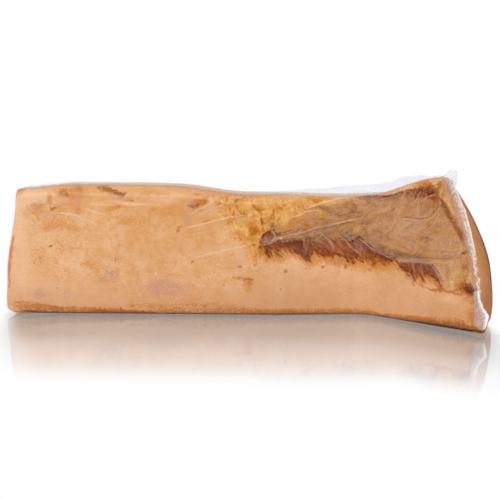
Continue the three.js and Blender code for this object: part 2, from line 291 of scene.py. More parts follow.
# Blobs: colour, strength, s, z, half length, half height, lean.
UNDER_BLOBS = [
    # the left part
    
   
    ("honey", 0.25, 40, 108, 16, 8, 10), ("honey", 0.45, 70, 122, 18, 7, 0), ("honey", 0.45, 58, 92, 20, 8, -8),
    ("straw", 0.4, 30, 84, 9, 12, 0), ("honey", 0.4, 62, 70, 16, 10, 0), ("lavender", 0.3, 36, 22, 8, 6, 0), ("lavender", 0.35, 62, 21, 3.4, 6, 0),
    ("lavender", 0.35, 108, 40, 6, 6, 0), ("rose", 0.4, 158, 28, 22, 8, 4), ("honey", 0.4, 140, 98, 20, 8, 0), ("honey", 0.4, 110, 104, 14, 8, -10),
    ("honey", 0.35, 35, 110, 9, 5, 10), ("umber", 0.22, 35, 110.5, 8, 3.6, 10), ("honey", 0.80, 47, 117, 2.88, 5.17, 10),
    ("ginger", 0.8, 62, 123.5, 8, 4, -8), ("ginger", 0.5, 72, 123, 7, 5, 0), ("honey", 0.80, 74, 126, 4.02, 5.17, 0), ("umber", 0.4, 76.5, 126, 3, 4, 0), ("honey", 0.5, 40, 101, 20, 6, -6), ("honey", 0.5, 68, 119, 12, 7, 0),
    ("blush", 0.86, 60, 116, 6.9, 3.68, 10), ("rose", 0.80, 75.5, 117, 2.76, 6.32, 0), ("honey", 0.57, 62, 109, 13.8, 4.6, -4),
    ("ginger", 0.46, 75, 105, 2.99, 4.6, 0), ("honey", 0.63, 45, 89, 6.9, 4.6, 20), ("honey", 0.63, 66, 90, 6.9, 3.45, 0),
    ("honey", 0.52, 34, 60, 6.9, 11.5, 0), ("blush", 0.52, 45, 101, 6.9, 3.45, 0), ("rose", 0.52, 105, 38, 9.2, 6.9, 0),
    ("honey", 0.57, 96, 36, 4.6, 4.6, 0), ("rose", 0.57, 34, 21, 8.05, 4.6, 0), ("blush", 0.80, 61, 20, 2.76, 4.6, 0),
    ("rose", 0.46, 114, 58, 3.45, 6.9, 0), ("honey", 0.69, 84, 52, 6.9, 4.6, 0), ("orange", 0.57, 116, 110, 8.05, 1.84, 0),
    ("honey", 0.69, 122, 95, 8.05, 4.6, 10), ("honey", 0.63, 107, 108, 4.6, 2.3, 0), ("honey", 0.69, 165, 105, 6.9, 5.17, -10),
    ("honey", 0.57, 153, 108, 5.75, 3.45, 0), ("honey", 0.57, 172, 113, 5.75, 3.45, 0), ("rose", 0.57, 165, 26, 20.7, 8.05, 0),
    ("rose", 0.40, 152, 34, 11.5, 6.9, 0), ("peach", 0.57, 165, 117, 11.5, 4.6, 0), ("peach", 0.46, 174, 122, 9.2, 3.45, 0),
    ("orange", 0.97, 196.5, 114.5, 6.32, 3.68, 8), ("amber", 0.86, 201, 114, 3.45, 3.22, 0), ("mauve", 0.69, 188.5, 111, 4.6, 2.53, -20),
    ("rose", 0.57, 187, 115, 3.45, 4.6, 0), ("rose", 0.57, 184, 97, 4.6, 4.6, 0), ("rose", 0.46, 206, 104, 13.8, 2.3, 16),
    ("blush", 0.57, 238, 54, 5.75, 13.8, 0), ("orange", 0.57, 245, 34, 5.75, 3.91, 0), ("honey", 0.57, 244, 27, 4.6, 3.45, -40),
    # the ochre part
    ("gold", 0.97, 239, 118.5, 4.14, 1.38, 20), ("yellow", 0.69, 246, 112, 6.9, 3.45, 10), ("amber", 0.92, 240.5, 103, 2.99, 2.3, 0),
    ("straw", 0.86, 237, 96, 5.17, 4.6, 20), ("gold", 0.92, 245, 92, 2.99, 2.53, 0), ("amber", 0.97, 251, 85.5, 5.75, 5.17, 30),
    ("gold", 0.86, 246, 78, 8.05, 2.53, -8), ("amber", 0.80, 257, 66, 3.45, 6.32, 0), ("orange", 0.69, 252, 58, 3.45, 6.9, 0),
    ("gold", 0.92, 274, 109, 5.75, 2.07, -8), ("amber", 0.80, 276, 109.3, 2.3, 1.15, 0), ("amber", 0.80, 268.5, 102, 1.84, 5.17, -10),
    ("yellow", 0.86, 281.5, 98, 2.76, 7.47, 0), ("gold", 0.80, 283, 89, 5.17, 2.76, 10), ("umber", 0.92, 268.5, 92, 2.3, 2.76, 0),
    ("brick", 0.92, 258, 95.5, 1.61, 4.6, 10), ("gold", 0.97, 306, 117, 5.75, 2.53, 0), ("amber", 0.92, 312, 116, 2.76, 2.07, -20),
    ("gold", 0.80, 318, 117.5, 6.9, 1.61, 0), ("yellow", 0.63, 262, 112, 4.6, 3.45, 0), ("yellow", 0.69, 222, 84, 3.45, 5.75, -25),
    # the loosely covered part
    ("orange", 0.7, 300, 97, 7, 5, 20), ("gold", 0.9, 316, 101.5, 8, 4, 10), ("amber", 0.97, 303, 91, 2.8, 4, 0), ("taupe", 0.6, 349, 107, 4, 5, 0), ("sand", 0.7, 343, 108, 4, 3, 0), ("yellow", 0.6, 281, 100, 4.6, 8, 0), ("orange", 0.6, 288, 93, 5, 4, 0), ("amber", 0.92, 310.5, 99.5, 3.22, 5.75, 5), ("yellow", 0.57, 315, 103.5, 6.9, 2.76, 15), ("rose", 0.57, 305, 98, 5.17, 4.6, 0),
    ("straw", 0.97, 329, 108.7, 6.32, 2.53, 18), ("stone", 0.92, 334, 101, 6.32, 5.17, 10), ("moss", 0.86, 344, 113.5, 5.06, 3.45, 20),
    ("sand", 0.6, 351, 110, 6, 4, 0), ("brown", 0.6, 347.5, 107, 2, 2.4, 0), ("umber", 0.7, 350, 101, 6, 4.6, 10), ("umber", 0.5, 363, 89, 6, 9, 0), ("clay", 0.5, 355, 102, 5, 7, 15),
    ("yellow", 0.6, 353, 90, 3.4, 4.6, 0), ("wheat", 0.92, 338, 89, 6.32, 2.76, 6), ("olive", 0.45, 320, 90, 12, 6, 10),
    ("mauve", 0.63, 293, 87, 5.75, 1.61, 10), ("stone", 0.69, 333, 82, 16.1, 4.6, 4), ("lavender", 0.40, 342, 79.5, 8.05, 2.76, 0),
    ("moss", 0.80, 364.5, 116, 3.91, 1.84, 20), ("honey", 0.69, 397, 116, 5.75, 4.14, 10), ("honey", 0.46, 374, 113, 4.6, 3.45, 20),
    ("moss", 0.92, 424.5, 84.5, 8.05, 3.45, -8), ("ginger", 0.57, 416, 83, 5.17, 2.3, 0), ("umber", 0.57, 430, 80, 3.45, 2.3, -40),
    ("lavender", 0.69, 412, 78, 5.17, 2.99, 0), ("straw", 0.69, 405, 71.5, 4.6, 2.3, 0), ("sand", 0.57, 402, 97, 13.8, 5.75, 10), ("shell", 0.6, 408, 90, 10, 9, 0), ("shell", 0.5, 396, 86, 9, 6, 0), ("shell", 0.55, 381, 113, 14, 8, 0), ("shell", 0.4, 444, 80, 9, 7, 0),
    ("sand", 0.46, 380, 106, 11.5, 6.9, 10), ("sand", 0.46, 372, 90, 8.05, 3.45, 0), ("clay", 0.46, 430, 95, 9.2, 4.6, 20),
    ("rose", 0.46, 452, 82, 5.75, 4.6, 0), ("wheat", 0.57, 450, 92, 5.75, 3.45, 20), ("rose", 0.46, 383, 94, 5.75, 3.45, 0),
    ("umber", 0.57, 434, 114, 3.45, 5.75, -30), ("ginger", 0.69, 421, 117, 10.3, 2.99, 4), ("clay", 0.57, 388, 118, 11.5, 2.3, 5),
    ("brown", 0.8, 422, 129, 16, 6, 12), ("moss", 0.6, 440, 128, 5, 6, -40), ("rust", 0.8, 412, 126.5, 7, 3.4, 25), ("rust", 0.9, 426, 128, 7, 3.4, 10), ("maroon", 0.6, 418, 127.4, 5, 2, 20),
    ("orange", 0.92, 421, 136.2, 9.2, 2.53, 8), ("amber", 0.97, 426, 133.5, 4.14, 2.53, 0), ("amber", 0.97, 435, 121, 3.6, 5, -20), ("umber", 0.7, 437, 134, 3.4, 5, -30),
    ("rust", 0.95, 427, 132.6, 3.6, 2.8, 0), ("rust", 0.92, 435.4, 124.6, 3, 3, 0), ("rust", 0.9, 407, 124.4, 3.6, 2.8, 25), ("bark", 0.85, 419.4, 128.4, 7, 2.6, 10), ("bark", 0.8, 430, 127.4, 4, 2.2, 0), ("amber", 0.9, 424, 135, 5, 1.8, 5), ("tan", 0.85, 440, 129, 2, 3.6, -30), ("rust", 0.92, 433, 122.5, 2.53, 2.76, 0), ("rust", 0.57, 429.5, 122.6, 2.76, 1.61, 0), ("rust", 0.86, 422, 126, 9.2, 2.53, 2),
    ("brick", 0.69, 443, 116.5, 3.45, 3.45, -40), ("moss", 0.97, 464.5, 74, 1.95, 1.8, 0), ("cream", 0.40, 455, 46, 4.6, 4.6, 0),
    ("wheat", 0.57, 460, 46, 3.45, 4.6, 0), ("olive", 0.46, 451, 57, 2.3, 6.9, 10),
    # the lower right
    ("ginger", 0.8, 464, 40.5, 5, 6, 0), ("rust", 0.97, 470.5, 43, 6.6, 5.4, -25), ("rust", 0.97, 475.5, 39, 4, 3.6, 0),
    ("soot", 0.8, 470, 43.5, 3.2, 2.8, 0), ("bark", 0.85, 475, 39.5, 2.8, 2.6, 0), ("brick", 0.6, 472, 41, 1.2, 1.2, 0), ("maroon", 0.8, 475.5, 44.5, 3, 2.4, 0),
    ("brick", 0.92, 466, 63.6, 1.95, 1.2, 0), ("brick", 0.92, 466, 60, 2.1, 1.2, 0), ("brick", 0.69, 467, 53, 1.35, 2.4, 0),
    ("rust", 0.9, 466.4, 44.6, 3, 3.4, 0), ("maroon", 0.8, 476.4, 39.6, 2.2, 2.4, 0), ("amber", 0.7, 461.6, 44, 3.4, 4, 0), ("ginger", 0.45, 473, 32, 6, 4, 0), ("ginger", 0.4, 476, 20, 5, 11, 0), ("peach", 0.5, 453, 29, 10, 4, 0), ("amber", 0.55, 466.6, 64, 2.6, 5, 0), ("gold", 0.6, 464, 52, 3, 5, 0), ("sand", 0.65, 455, 58, 5, 6, 0), ("lavender", 0.4, 449, 60, 3, 5, 0), ("sand", 0.34, 404, 44, 16.1, 5.75, 0), ("ginger", 0.45, 334, 55, 10, 4, 0),
    # dots
    ("brown", 0.86, 46.5, 70.3, 1.8, 1.5, 0), ("umber", 0.92, 188, 55, 1.5, 2.1, 0), ("umber", 0.86, 236, 50, 1.95, 1.35, 0),
    ("umber", 0.80, 282, 46, 1.95, 1.65, 0), ("umber", 0.80, 342, 50.5, 1.65, 1.8, 0), ("umber", 0.69, 318, 50, 1.35, 1.65, 0),
    ("brown", 0.80, 116, 6.3, 1.2, 2.4, 0), ("umber", 0.57, 190, 31, 1.35, 1.35, 0), ("umber", 0.57, 277, 28, 1.5, 1.35, 0),
    ("umber", 0.57, 366, 47, 1.35, 1.35, 0), ("umber", 0.52, 52, 27, 1.35, 1.2, 0), ("umber", 0.57, 201, 10, 2.1, 1.2, 0),
    ("umber", 0.46, 112, 57, 1.35, 2.1, 0), ("umber", 0.46, 302, 49, 1.2, 1.2, 0), ("umber", 0.46, 331, 52, 1.2, 1.2, 0),
    ("umber", 0.46, 220, 32, 1.8, 1.8, 0), ("brick", 0.80, 4.6, 51, 1.03, 2.53, 0), ("umber", 0.57, 85, 93, 2.1, 1.5, 30),
]
# Lines: colour, strength, half width, points.
UNDER_LINES = [
    # the left part; its cream and peach lines are painted highlights along the film's creases
    ("ember", 0.86, 1.5, [(9.5, 80), (7, 66), (5, 54), (4, 42), (3.2, 28)]), ("ginger", 0.69, 1.3, [(14, 124), (17.5, 127)]),
    ("cream", 0.92, 0.77, [(14.5, 118), (17, 122.5), (21, 125.5)]), ("cream", 0.80, 0.77, [(17, 116), (20, 120.5), (24, 124)]),
    ("ginger", 0.80, 0.99, [(15.5, 119.5), (18.5, 123.5), (22, 126)]), ("umber", 0.6, 1.6, [(57, 122), (61, 124.6), (65, 121)]),
    ("brown", 0.55, 1.2, [(63, 122.5), (65.8, 120)]), ("umber", 0.63, 0.88, [(48, 105.5), (50, 107.8), (53, 108.6)]),
    ("cream", 0.35, 1.1, [(58, 103), (70, 101.8), (80, 99)]), ("cream", 0.3, 1.2, [(82, 108), (92, 105), (101, 102)]),
    ("cream", 0.46, 0.99, [(86, 113), (98, 112), (110, 112.5)]), ("cream", 0.46, 0.99, [(80, 98), (88, 95), (94, 91)]),
    ("ginger", 0.9, 2.6, [(95, 128), (101, 127.6), (108, 126.2)]), ("brick", 0.95, 2.3, [(111, 124.2), (118, 122.4), (125, 121.6)]),
    ("umber", 0.8, 2.2, [(100, 127.4), (108, 125.6), (116, 123.4)]), ("maroon", 0.6, 0.9, [(112, 123.8), (121, 121.8)]), ("rose", 0.86, 1.4, [(108, 119.4), (118, 117.8), (129, 117.4)]),
    ("mauve", 0.40, 0.77, [(116, 117.4), (128, 115.8), (137, 114.4)]), ("yellow", 0.80, 1.2, [(110, 115.4), (118, 114.2), (126, 113.6)]),
    ("cream", 0.45, 1.3, [(118, 112.8), (134, 112.3), (148, 112.6)]), ("honey", 0.69, 1.3, [(132, 124), (150, 123.6), (166, 122)]),
    ("ginger", 0.86, 0.99, [(173.5, 83), (175.5, 89), (179, 91.6)]), ("rust", 0.80, 0.88, [(193, 111), (196, 112.2)]),
    ("violet", 0.57, 0.88, [(186.5, 110.6), (191.5, 109.4)]), ("clay", 0.57, 0.99, [(194, 105), (199, 107)]),
    ("umber", 0.57, 0.88, [(190, 123.4), (197, 122.2)]), ("umber", 0.46, 0.99, [(203, 119.5), (212, 120.5)]),
    ("peach", 0.4, 1.3, [(184, 103), (198, 109), (210, 115)]), ("peach", 0.4, 1.1, [(190, 99), (206, 107), (222, 113)]),
    ("clay", 0.40, 0.99, [(187, 105), (200, 111)]), ("gold", 0.86, 1.3, [(199, 94.6), (207, 96.4)]),
    ("peach", 0.4, 1.1, [(182, 89), (196, 92.4), (214, 97), (228, 100.6)]), ("peach", 0.45, 1.1, [(188, 58.4), (205, 62.8), (222, 67.4), (242, 71)]),
    ("ginger", 0.6, 1.5, [(228, 39.6), (239, 37.7), (250, 37.8)]), ("brick", 0.45, 0.99, [(242, 38.4), (249, 38)]),
    ("peach", 0.63, 1.7, [(216, 79), (222, 86)]), ("peach", 0.57, 1.7, [(213.5, 74), (222, 79)]), ("peach", 0.46, 1.3, [(223, 84), (228, 92)]),
    # the ochre part
    ("moss", 0.97, 1.2, [(230.5, 114), (234.5, 118)]), ("amber", 0.97, 1.7, [(248.5, 112), (252, 109), (256.5, 104.6)]),
    ("amber", 0.69, 0.99, [(254, 106.6), (260, 107.4)]), ("amber", 0.92, 1.2, [(229.8, 106), (230.2, 101)]),
    ("umber", 0.69, 0.77, [(247, 72), (252, 72.6)]), ("amber", 0.69, 0.99, [(258.5, 90), (261, 84)]),
    # the loosely covered part; the light sand and wheat lines are painted highlights along the film's folds, and the
    # soft dark bands beside and under them are painted shade
    ("taupe", 0.8, 2.8, [(370, 73), (384, 69), (396, 66.6), (410, 66.8), (421, 67.4)]), ("umber", 0.7, 3, [(274, 82), (284, 84.4), (294, 86)]), ("taupe", 0.5, 2.2, [(313, 110), (321, 107.4), (329, 103), (341, 101.4)]), ("umber", 0.57, 0.88, [(334, 93.8), (346, 97.8), (356, 100)]),
    ("wheat", 0.80, 1.3, [(270, 74.8), (280, 78), (292, 80)]), ("brown", 0.97, 1.1, [(275, 75.8), (284, 78), (292, 79.2)]),
    ("amber", 0.97, 1.4, [(301.4, 93.8), (302.6, 88.4)]), ("brown", 0.57, 0.99, [(349, 112.5), (351.5, 108)]),
    ("umber", 0.69, 1.5, [(357.8, 94.5), (358.6, 88), (356.4, 84)]),
    ("ginger", 0.80, 1.3, [(405, 71.2), (412, 71.6), (419, 70.6)]),
    ("sand", 0.57, 1.5, [(378, 124.6), (392, 127.4), (404, 131.4)]), ("clay", 0.63, 2.2, [(370, 118.4), (386, 120.2), (401, 123.4)]), ("mauve", 0.8, 2.4, [(352, 118.6), (368, 118.4), (380, 119.2), (390, 121.4), (403, 125.6)]),
    ("brick", 0.7, 1.1, [(403, 121.4), (410, 127.8)]), ("rust", 0.8, 1.2, [(408, 121.4), (416, 130.4)]), ("maroon", 0.7, 1.1, [(412.5, 121), (420.5, 131)]),
    ("clay", 0.57, 1.1, [(404, 119.5), (405.6, 111.5)]),
    ("sand", 0.46, 1.1, [(391, 87), (406, 87.2), (417, 92), (428, 96)]), ("sand", 0.46, 1.1, [(373, 82), (384, 88), (392, 99), (397, 111)]),
    ("clay", 0.46, 0.88, [(375, 81), (387, 88), (395, 100)]), ("umber", 0.46, 0.88, [(366, 101), (380, 104), (392, 110)]), ("clay", 0.46, 0.88, [(360, 104), (372, 108), (384, 115)]),
    ("brown", 0.95, 3, [(440.5, 122), (446, 113.6), (450.6, 106.6), (456, 98)]), ("brown", 0.95, 2.2, [(455, 99.4), (460, 91.6), (464, 85), (467.4, 79)]),
    ("maroon", 0.95, 1.3, [(464, 85), (468.4, 77.6), (470.6, 73.4)]), ("violet", 0.95, 1.1, [(470.4, 74), (473.6, 67), (475.6, 57), (477.6, 50)]),
    ("sand", 0.69, 1.1, [(432, 63), (448, 64.4), (463, 67.4)]),
    ("umber", 0.95, 2.0, [(468.6, 71), (467, 62), (467.6, 54), (468, 48)]), ("stone", 0.40, 1.1, [(449, 62), (450, 52), (452, 44)]),
    # the foot and the lower right; the soot, umber and brown lines along the very foot are painted shade where the slab
    # meets the floor, and the peach line at the lower left corner is a painted highlight on the film
    ("ginger", 0.85, 1.3, [(432, 36), (446, 37), (458, 36.6), (465, 35.4)]), ("ginger", 0.46, 1.1, [(421, 39.6), (434, 36.2)]),
    ("ginger", 0.80, 2.9, [(478, 37), (478, 22), (477, 8)]), ("ginger", 0.5, 3.0, [(425, 7), (446, 8.4), (473, 10)]),
    ("umber", 0.97, 3.6, [(396, 2), (430, 3.4), (460, 4.2), (484, 6)]), ("soot", 0.97, 1.5, [(372, 0.2), (400, 0.6), (430, 1.2), (465, 2), (488, 3.2)]),
    ("ginger", 0.8, 2.6, [(372, 2), (400, 4), (430, 7)]), ("ginger", 0.75, 2.9, [(9, 8), (30, 8), (60, 5.4), (100, 4.4), (128, 3.6)]),
    ("orange", 0.57, 2, [(8, 12), (24, 12), (42, 8.6)]), ("umber", 0.69, 1.1, [(46, 6.8), (53, 6.4)]), ("brick", 0.80, 1.5, [(88, 3.8), (95, 4), (103, 3.2)]),
    ("brick", 0.75, 2, [(106, 3), (128, 2.8), (150, 2)]), ("ginger", 0.52, 3.3, [(146, 4), (200, 4.4), (256, 4), (300, 3)]), ("ginger", 0.65, 3, [(236, 4.6), (300, 4.2), (376, 4)]),
    ("ginger", 0.34, 3.7, [(120, 10), (160, 9), (200, 9.6), (250, 8)]), ("umber", 0.57, 1.8, [(12, 5.4), (30, 3.6), (52, 2.6)]),
    ("brown", 0.97, 1.1, [(14, 3.2), (36, 1.6), (58, 0.7), (120, 0.7), (200, 0.5), (300, 0.4), (392, 0.4)]),
    ("peach", 0.69, 1.3, [(3, 9), (5, 4.5), (10, 2.8)]),
]
# On the bare strip. The light film and lavender lines and blobs are painted highlights of the film where it crosses the
# strip.
OVER_AREAS = [
    ("rust", 0.5, 2, [(281, 70), (284, 78), (300, 80), (308, 78), (306, 68), (294, 66)]),
    ("plum", 0.85, 1.2, [(285, 70), (290, 76), (300, 76), (301, 68), (306.5, 60), (304, 57), (299, 59), (294, 63), (288, 67)]),
    ("brown", 0.7, 1.5, [(303, 76), (316, 76), (318, 66), (309, 64), (304, 66)]),
    ("rust", 0.9, 1.5, [(330, 76), (340, 77), (347, 70), (346, 64), (338, 62), (331, 65)]),
    ("bark", 0.75, 1.5, [(346, 76), (350, 79), (357, 78), (362, 73), (356, 69), (349, 71)]),
    ("rust", 0.6, 1.5, [(350, 70), (362, 70), (376, 62), (392, 59), (384, 55.5), (368, 54.5), (354, 57)]),
    ("maroon", 0.88, 1.5, [(426, 61), (434, 60), (440, 54), (442, 48), (436, 50), (430, 53)]),
]
OVER_BLOBS = [
    ("amber", 0.75, 259, 67.5, 3.4, 3, 0), ("lavender", 0.75, 263, 77.2, 5, 3.6, 20), ("violet", 0.8, 266, 77.6, 2.2, 2.6, -20),
    ("bark", 0.85, 282, 73, 3.4, 1.5, 5), ("violet", 0.5, 300, 64, 2.6, 6, -30), ("brick", 0.6, 303.6, 58.4, 2.6, 2, 0),
    ("soot", 0.85, 291, 75, 2.2, 2, 0), ("soot", 0.6, 297, 74.4, 2.4, 2, 0), ("maroon", 0.8, 304.5, 77.4, 2.2, 1.5, 0),
    ("brick", 0.8, 322.5, 72.5, 4.6, 3.5, 0), ("maroon", 0.85, 325, 63, 3.2, 2, -40), ("brick", 0.5, 337, 70, 4, 4, -40),
    ("rust", 0.85, 352.6, 71.4, 3, 2.6, 0), ("orange", 0.6, 348, 58, 4, 2.2, -30), ("orange", 0.5, 338, 64, 3, 1.8, -30), ("amber", 0.6, 359, 60, 4, 1.8, -25), ("amber", 0.5, 345, 69, 3, 1.8, 0), ("amber", 0.6, 374, 59, 4, 1.6, -20), ("plum", 0.5, 353.6, 64, 1.6, 2.8, -20), ("maroon", 0.7, 340, 66.8, 3, 2.4, -20), ("mauve", 0.55, 326, 69.8, 2.4, 2, 0), ("umber", 0.6, 296, 77.4, 3.4, 1.6, 0), ("ginger", 0.55, 272, 77.4, 3, 1.8, 0), ("orange", 0.8, 371, 57.4, 3.2, 2, 0),
    ("orange", 0.55, 363, 58.4, 2.6, 1.8, 0), ("orange", 0.65, 383, 56.6, 4.4, 1.2, 0), ("gold", 0.6, 376, 55, 5, 1.4, 0),
    ("bark", 0.8, 384, 61.4, 7, 1.5, -18), ("brick", 0.8, 419, 51, 4.4, 2.6, 0), ("brick", 0.6, 411, 55, 6, 3.6, 0),
    ("ginger", 0.6, 436, 44, 3, 3, -50), ("rose", 0.5, 281, 68, 5, 1, 0),
    ("clay", 0.4, 310, 74, 4, 2, 0), ("stone", 0.5, 312, 77, 8, 1.6, 0), ("stone", 0.5, 337, 76.6, 7, 1.4, 0),
    ("maroon", 0.85, 471.0, 41.4, 6.4, 3.2, -42), ("brick", 0.6, 467.5, 44.7, 3.4, 2.4, -30), ("soot", 0.6, 470.0, 41.9, 2.2, 1.5, -40), ("soot", 0.6, 473.5, 39.0, 2.6, 1.4, -20), ("gold", 0.5, 468.5, 66.6, 1.6, 5, 0),
    ("gold", 0.5, 467.0, 53.3, 2.2, 5, 10), ("gold", 0.4, 459.0, 48.5, 5, 2.2, 0), ("ginger", 0.5, 469.0, 71.8, 1.2, 2.6, 0), ("umber", 0.5, 467.5, 60.9, 1, 2.6, 0),
]
OVER_LINES = [
    ("bark", 0.85, 1.5, [(257, 78), (260.5, 82.5), (265, 85), (270, 87.4)]), ("film", 0.46, 1.3, [(265, 73.6), (269.6, 75.8), (271.6, 80), (270, 84)]),
    ("brown", 0.75, 1.7, [(256, 76), (257, 69)]), ("film", 0.43, 1.2, [(270, 79.2), (277, 80)]), ("rust", 0.9, 1.2, [(261, 65), (266.4, 59.2)]),
    ("brick", 0.85, 1.5, [(269, 68.6), (275.6, 60.6)]), ("rust", 0.6, 0.9, [(266, 66), (268, 62)]), ("plum", 0.85, 1.6, [(270, 70.4), (278, 72), (286, 73)]),
    ("lavender", 0.37, 0.8, [(300.4, 80.4), (301, 72), (302.4, 64)]), ("violet", 0.75, 1.2, [(316.4, 71.6), (318, 65.6)]),
    ("rust", 0.85, 1.1, [(312.6, 66.4), (317.6, 60.8)]), ("rust", 0.85, 1.1, [(317, 65.4), (321.4, 59.6)]),
    ("rust", 0.85, 1.1, [(321.4, 66), (325.2, 60)]), ("maroon", 0.8, 1.1, [(325.6, 66), (328.8, 59.6)]),
    ("lavender", 0.53, 1.2, [(325, 78), (329, 71), (330.4, 65.6)]),
    ("rust", 0.8, 1.0, [(330, 65), (338, 61.8), (346, 58.6)]), ("rust", 0.85, 1.9, [(344.5, 60.4), (351.4, 54.4)]),
    ("ginger", 0.5, 0.8, [(344.6, 57.4), (349, 54.8)]),
    ("bark", 0.85, 1.4, [(351, 74), (364, 68), (378, 62.4), (393, 59.4)]),
    ("rust", 0.6, 0.8, [(356, 66), (362, 61), (368, 57)]), ("maroon", 0.6, 0.8, [(362, 66), (372, 60.6)]),
    ("lavender", 0.53, 1.2, [(398.6, 60.2), (408, 61.3), (418, 62), (432, 62)]),
    ("maroon", 0.6, 0.8, [(410.6, 58), (414, 49)]), ("maroon", 0.6, 0.8, [(416, 58.4), (419.4, 50)]), ("maroon", 0.55, 0.8, [(423, 58.4), (427.4, 50)]),
    ("film", 0.25, 0.6, [(413, 58.6), (417, 50)]), ("film", 0.28, 0.6, [(420, 59), (425, 49.6)]), ("ginger", 0.7, 1.1, [(408, 49.4), (414.4, 43)]),
    ("ginger", 0.7, 1.1, [(418.6, 48.4), (425.4, 42.4)]), ("ginger", 0.7, 1.1, [(427.6, 50.4), (433.4, 44.6)]), ("orange", 0.75, 1.1, [(433.6, 48), (441.6, 40)]),
    ("sand", 0.6, 0.8, [(414.6, 48.6), (418.4, 44)]), ("sand", 0.6, 0.8, [(423.6, 49.6), (429, 44.6)]),
    ("mauve", 0.75, 1.8, [(435.6, 60.4), (441.4, 53), (445, 45), (446.8, 40.6)]), ("film", 0.31, 0.7, [(432, 61), (439, 53.6), (443.4, 45)]),
]
# Broad soft tones of the left part: strength, s, z, half length, half height.
WARM = [(0.5, 195, 88, 46, 36), (0.45, 118, 120, 34, 10), (0.4, 145, 100, 34, 16), (0.4, 60, 95, 30, 16), (0.45, 68, 121, 22, 8), (0.25, 128, 64, 40, 30), (0.6, 186, 104, 22, 9), (0.35, 40, 104, 24, 8), (0.4, 262, 58, 14, 10), (0.4, 174, 108, 18, 10), (0.75, 478, 20, 10, 16), (0.35, 462, 10, 22, 8)]
# ROSY is partly painted highlight: pale pink along the rounded left edge and at the top left corner.
ROSY = [(0.65, 16, 70, 18, 60), (0.95, 30, 112, 26, 16), (0.5, 14, 116, 14, 14), (0.4, 62, 74, 14, 14), (0.35, 60, 20, 40, 14)]
# Thin lines over everything. The light ones are painted highlights along the film's folds and creases; the dark furrows
# are partly painted shade beside and under the folds and partly dark marks of the rind.
RIDGE_HIGHLIGHTS = [
    # the long creases
    ("sand", 1.0, 0.6, [(272.5, 79.3), (283, 81.6), (293, 83.6), (306, 86.8), (318, 89.6), (333.5, 93.3), (345, 96), (358, 98.6)]),
    ("peach", 1.0, 0.85, [(299, 107.6), (304, 109), (311, 111.5), (320.5, 114.5), (331, 117.2), (343.5, 119.2), (358, 121.8)]),
    ("peach", 0.9, 0.6, [(286, 98.6), (291, 100.4), (296.6, 102.4), (302, 105), (308, 105.8), (320, 106.6)]), ("sand", 0.7, 0.45, [(291, 95.4), (300, 100)]),
    # film drawn over the strip
    ("lavender", 0.85, 0.6, [(258.4, 72), (263, 72.8), (267, 74.5), (270, 77.8), (269.6, 83)]),
    ("film", 0.7, 0.4, [(316, 84.3), (322, 78.6), (327, 73.8), (331.4, 67)]), ("film", 0.55, 0.4, [(335, 82), (343.6, 73), (353.6, 64), (359, 60)]),
    ("film", 0.75, 0.45, [(351.5, 79.6), (364, 70.4), (373, 66.4), (384, 63), (394, 60.6)]), ("film", 0.4, 0.35, [(347, 79.8), (352, 75)]),
    ("film", 0.35, 0.4, [(303, 79), (303.6, 70), (301, 63)]), ("film", 0.4, 0.35, [(333, 65.6), (338, 63.4), (347, 62)]),
    ("lavender", 0.85, 1.5, [(396, 59.8), (410, 60.8), (422, 61.4), (434, 60.8)]), ("film", 0.5, 0.4, [(434, 60), (439, 53.6), (443.6, 45)]),
    ("film", 0.35, 0.35, [(412, 58.4), (416.6, 50)]), ("film", 0.35, 0.35, [(421, 59), (426, 49.6)]),
    # folds of the covered part
    ("sand", 0.75, 0.5, [(396, 100.4), (408, 101), (420.5, 100.2), (430.5, 104.2), (436.4, 110.2), (440.6, 118)]), ("sand", 0.7, 0.45, [(426, 92), (431.7, 95.4), (435.6, 102), (439.8, 112)]),
    ("peach", 0.55, 0.4, [(413, 119.6), (416, 124), (419, 129)]), ("peach", 0.6, 0.4, [(420, 120.8), (428, 124), (436, 127.6)]),
    ("film", 0.5, 0.35, [(404, 121.6), (410, 127.6)]), ("film", 0.5, 0.35, [(408.6, 121), (414.6, 128.8)]), ("sand", 0.6, 0.6, [(438, 63.2), (448, 63.8), (458, 65.4)]),
    ("sand", 0.4, 0.5, [(378, 84), (386, 90), (393, 99), (397, 110)]), ("sand", 0.4, 0.5, [(362, 103), (374, 106), (386, 112)]),
    ("peach", 0.6, 0.45, [(415.9, 120), (415.4, 112), (417.4, 107.4)]), ("sand", 0.5, 0.5, [(368, 117), (362, 110), (357, 107)]), ("sand", 0.5, 0.5, [(388, 118), (383, 110), (378, 104)]),
    # the left part
    ("cream", 0.85, 0.6, [(13.6, 114), (16.4, 120.6), (21.6, 125.6), (28, 127)]), ("cream", 0.6, 0.5, [(18, 114), (21.6, 119.2), (27, 123.6)]),
    ("cream", 0.35, 0.6, [(56, 103.4), (68, 102.2), (80, 99.4)]), ("cream", 0.32, 0.6, [(118, 112.8), (134, 112.2), (147, 112.8)]), ("cream", 0.3, 0.6, [(84, 107), (92, 104.4), (101, 101)]),
    ("cream", 0.32, 0.5, [(182, 89), (196, 92.4), (214, 97), (230, 101)]), ("cream", 0.36, 0.5, [(188, 58.4), (205, 62.8), (222, 67.4), (243, 71.2)]),
    ("cream", 0.26, 0.5, [(186, 103), (199, 109), (212, 116)]), ("cream", 0.26, 0.5, [(194, 100), (206, 105.6), (224, 113)]),
]
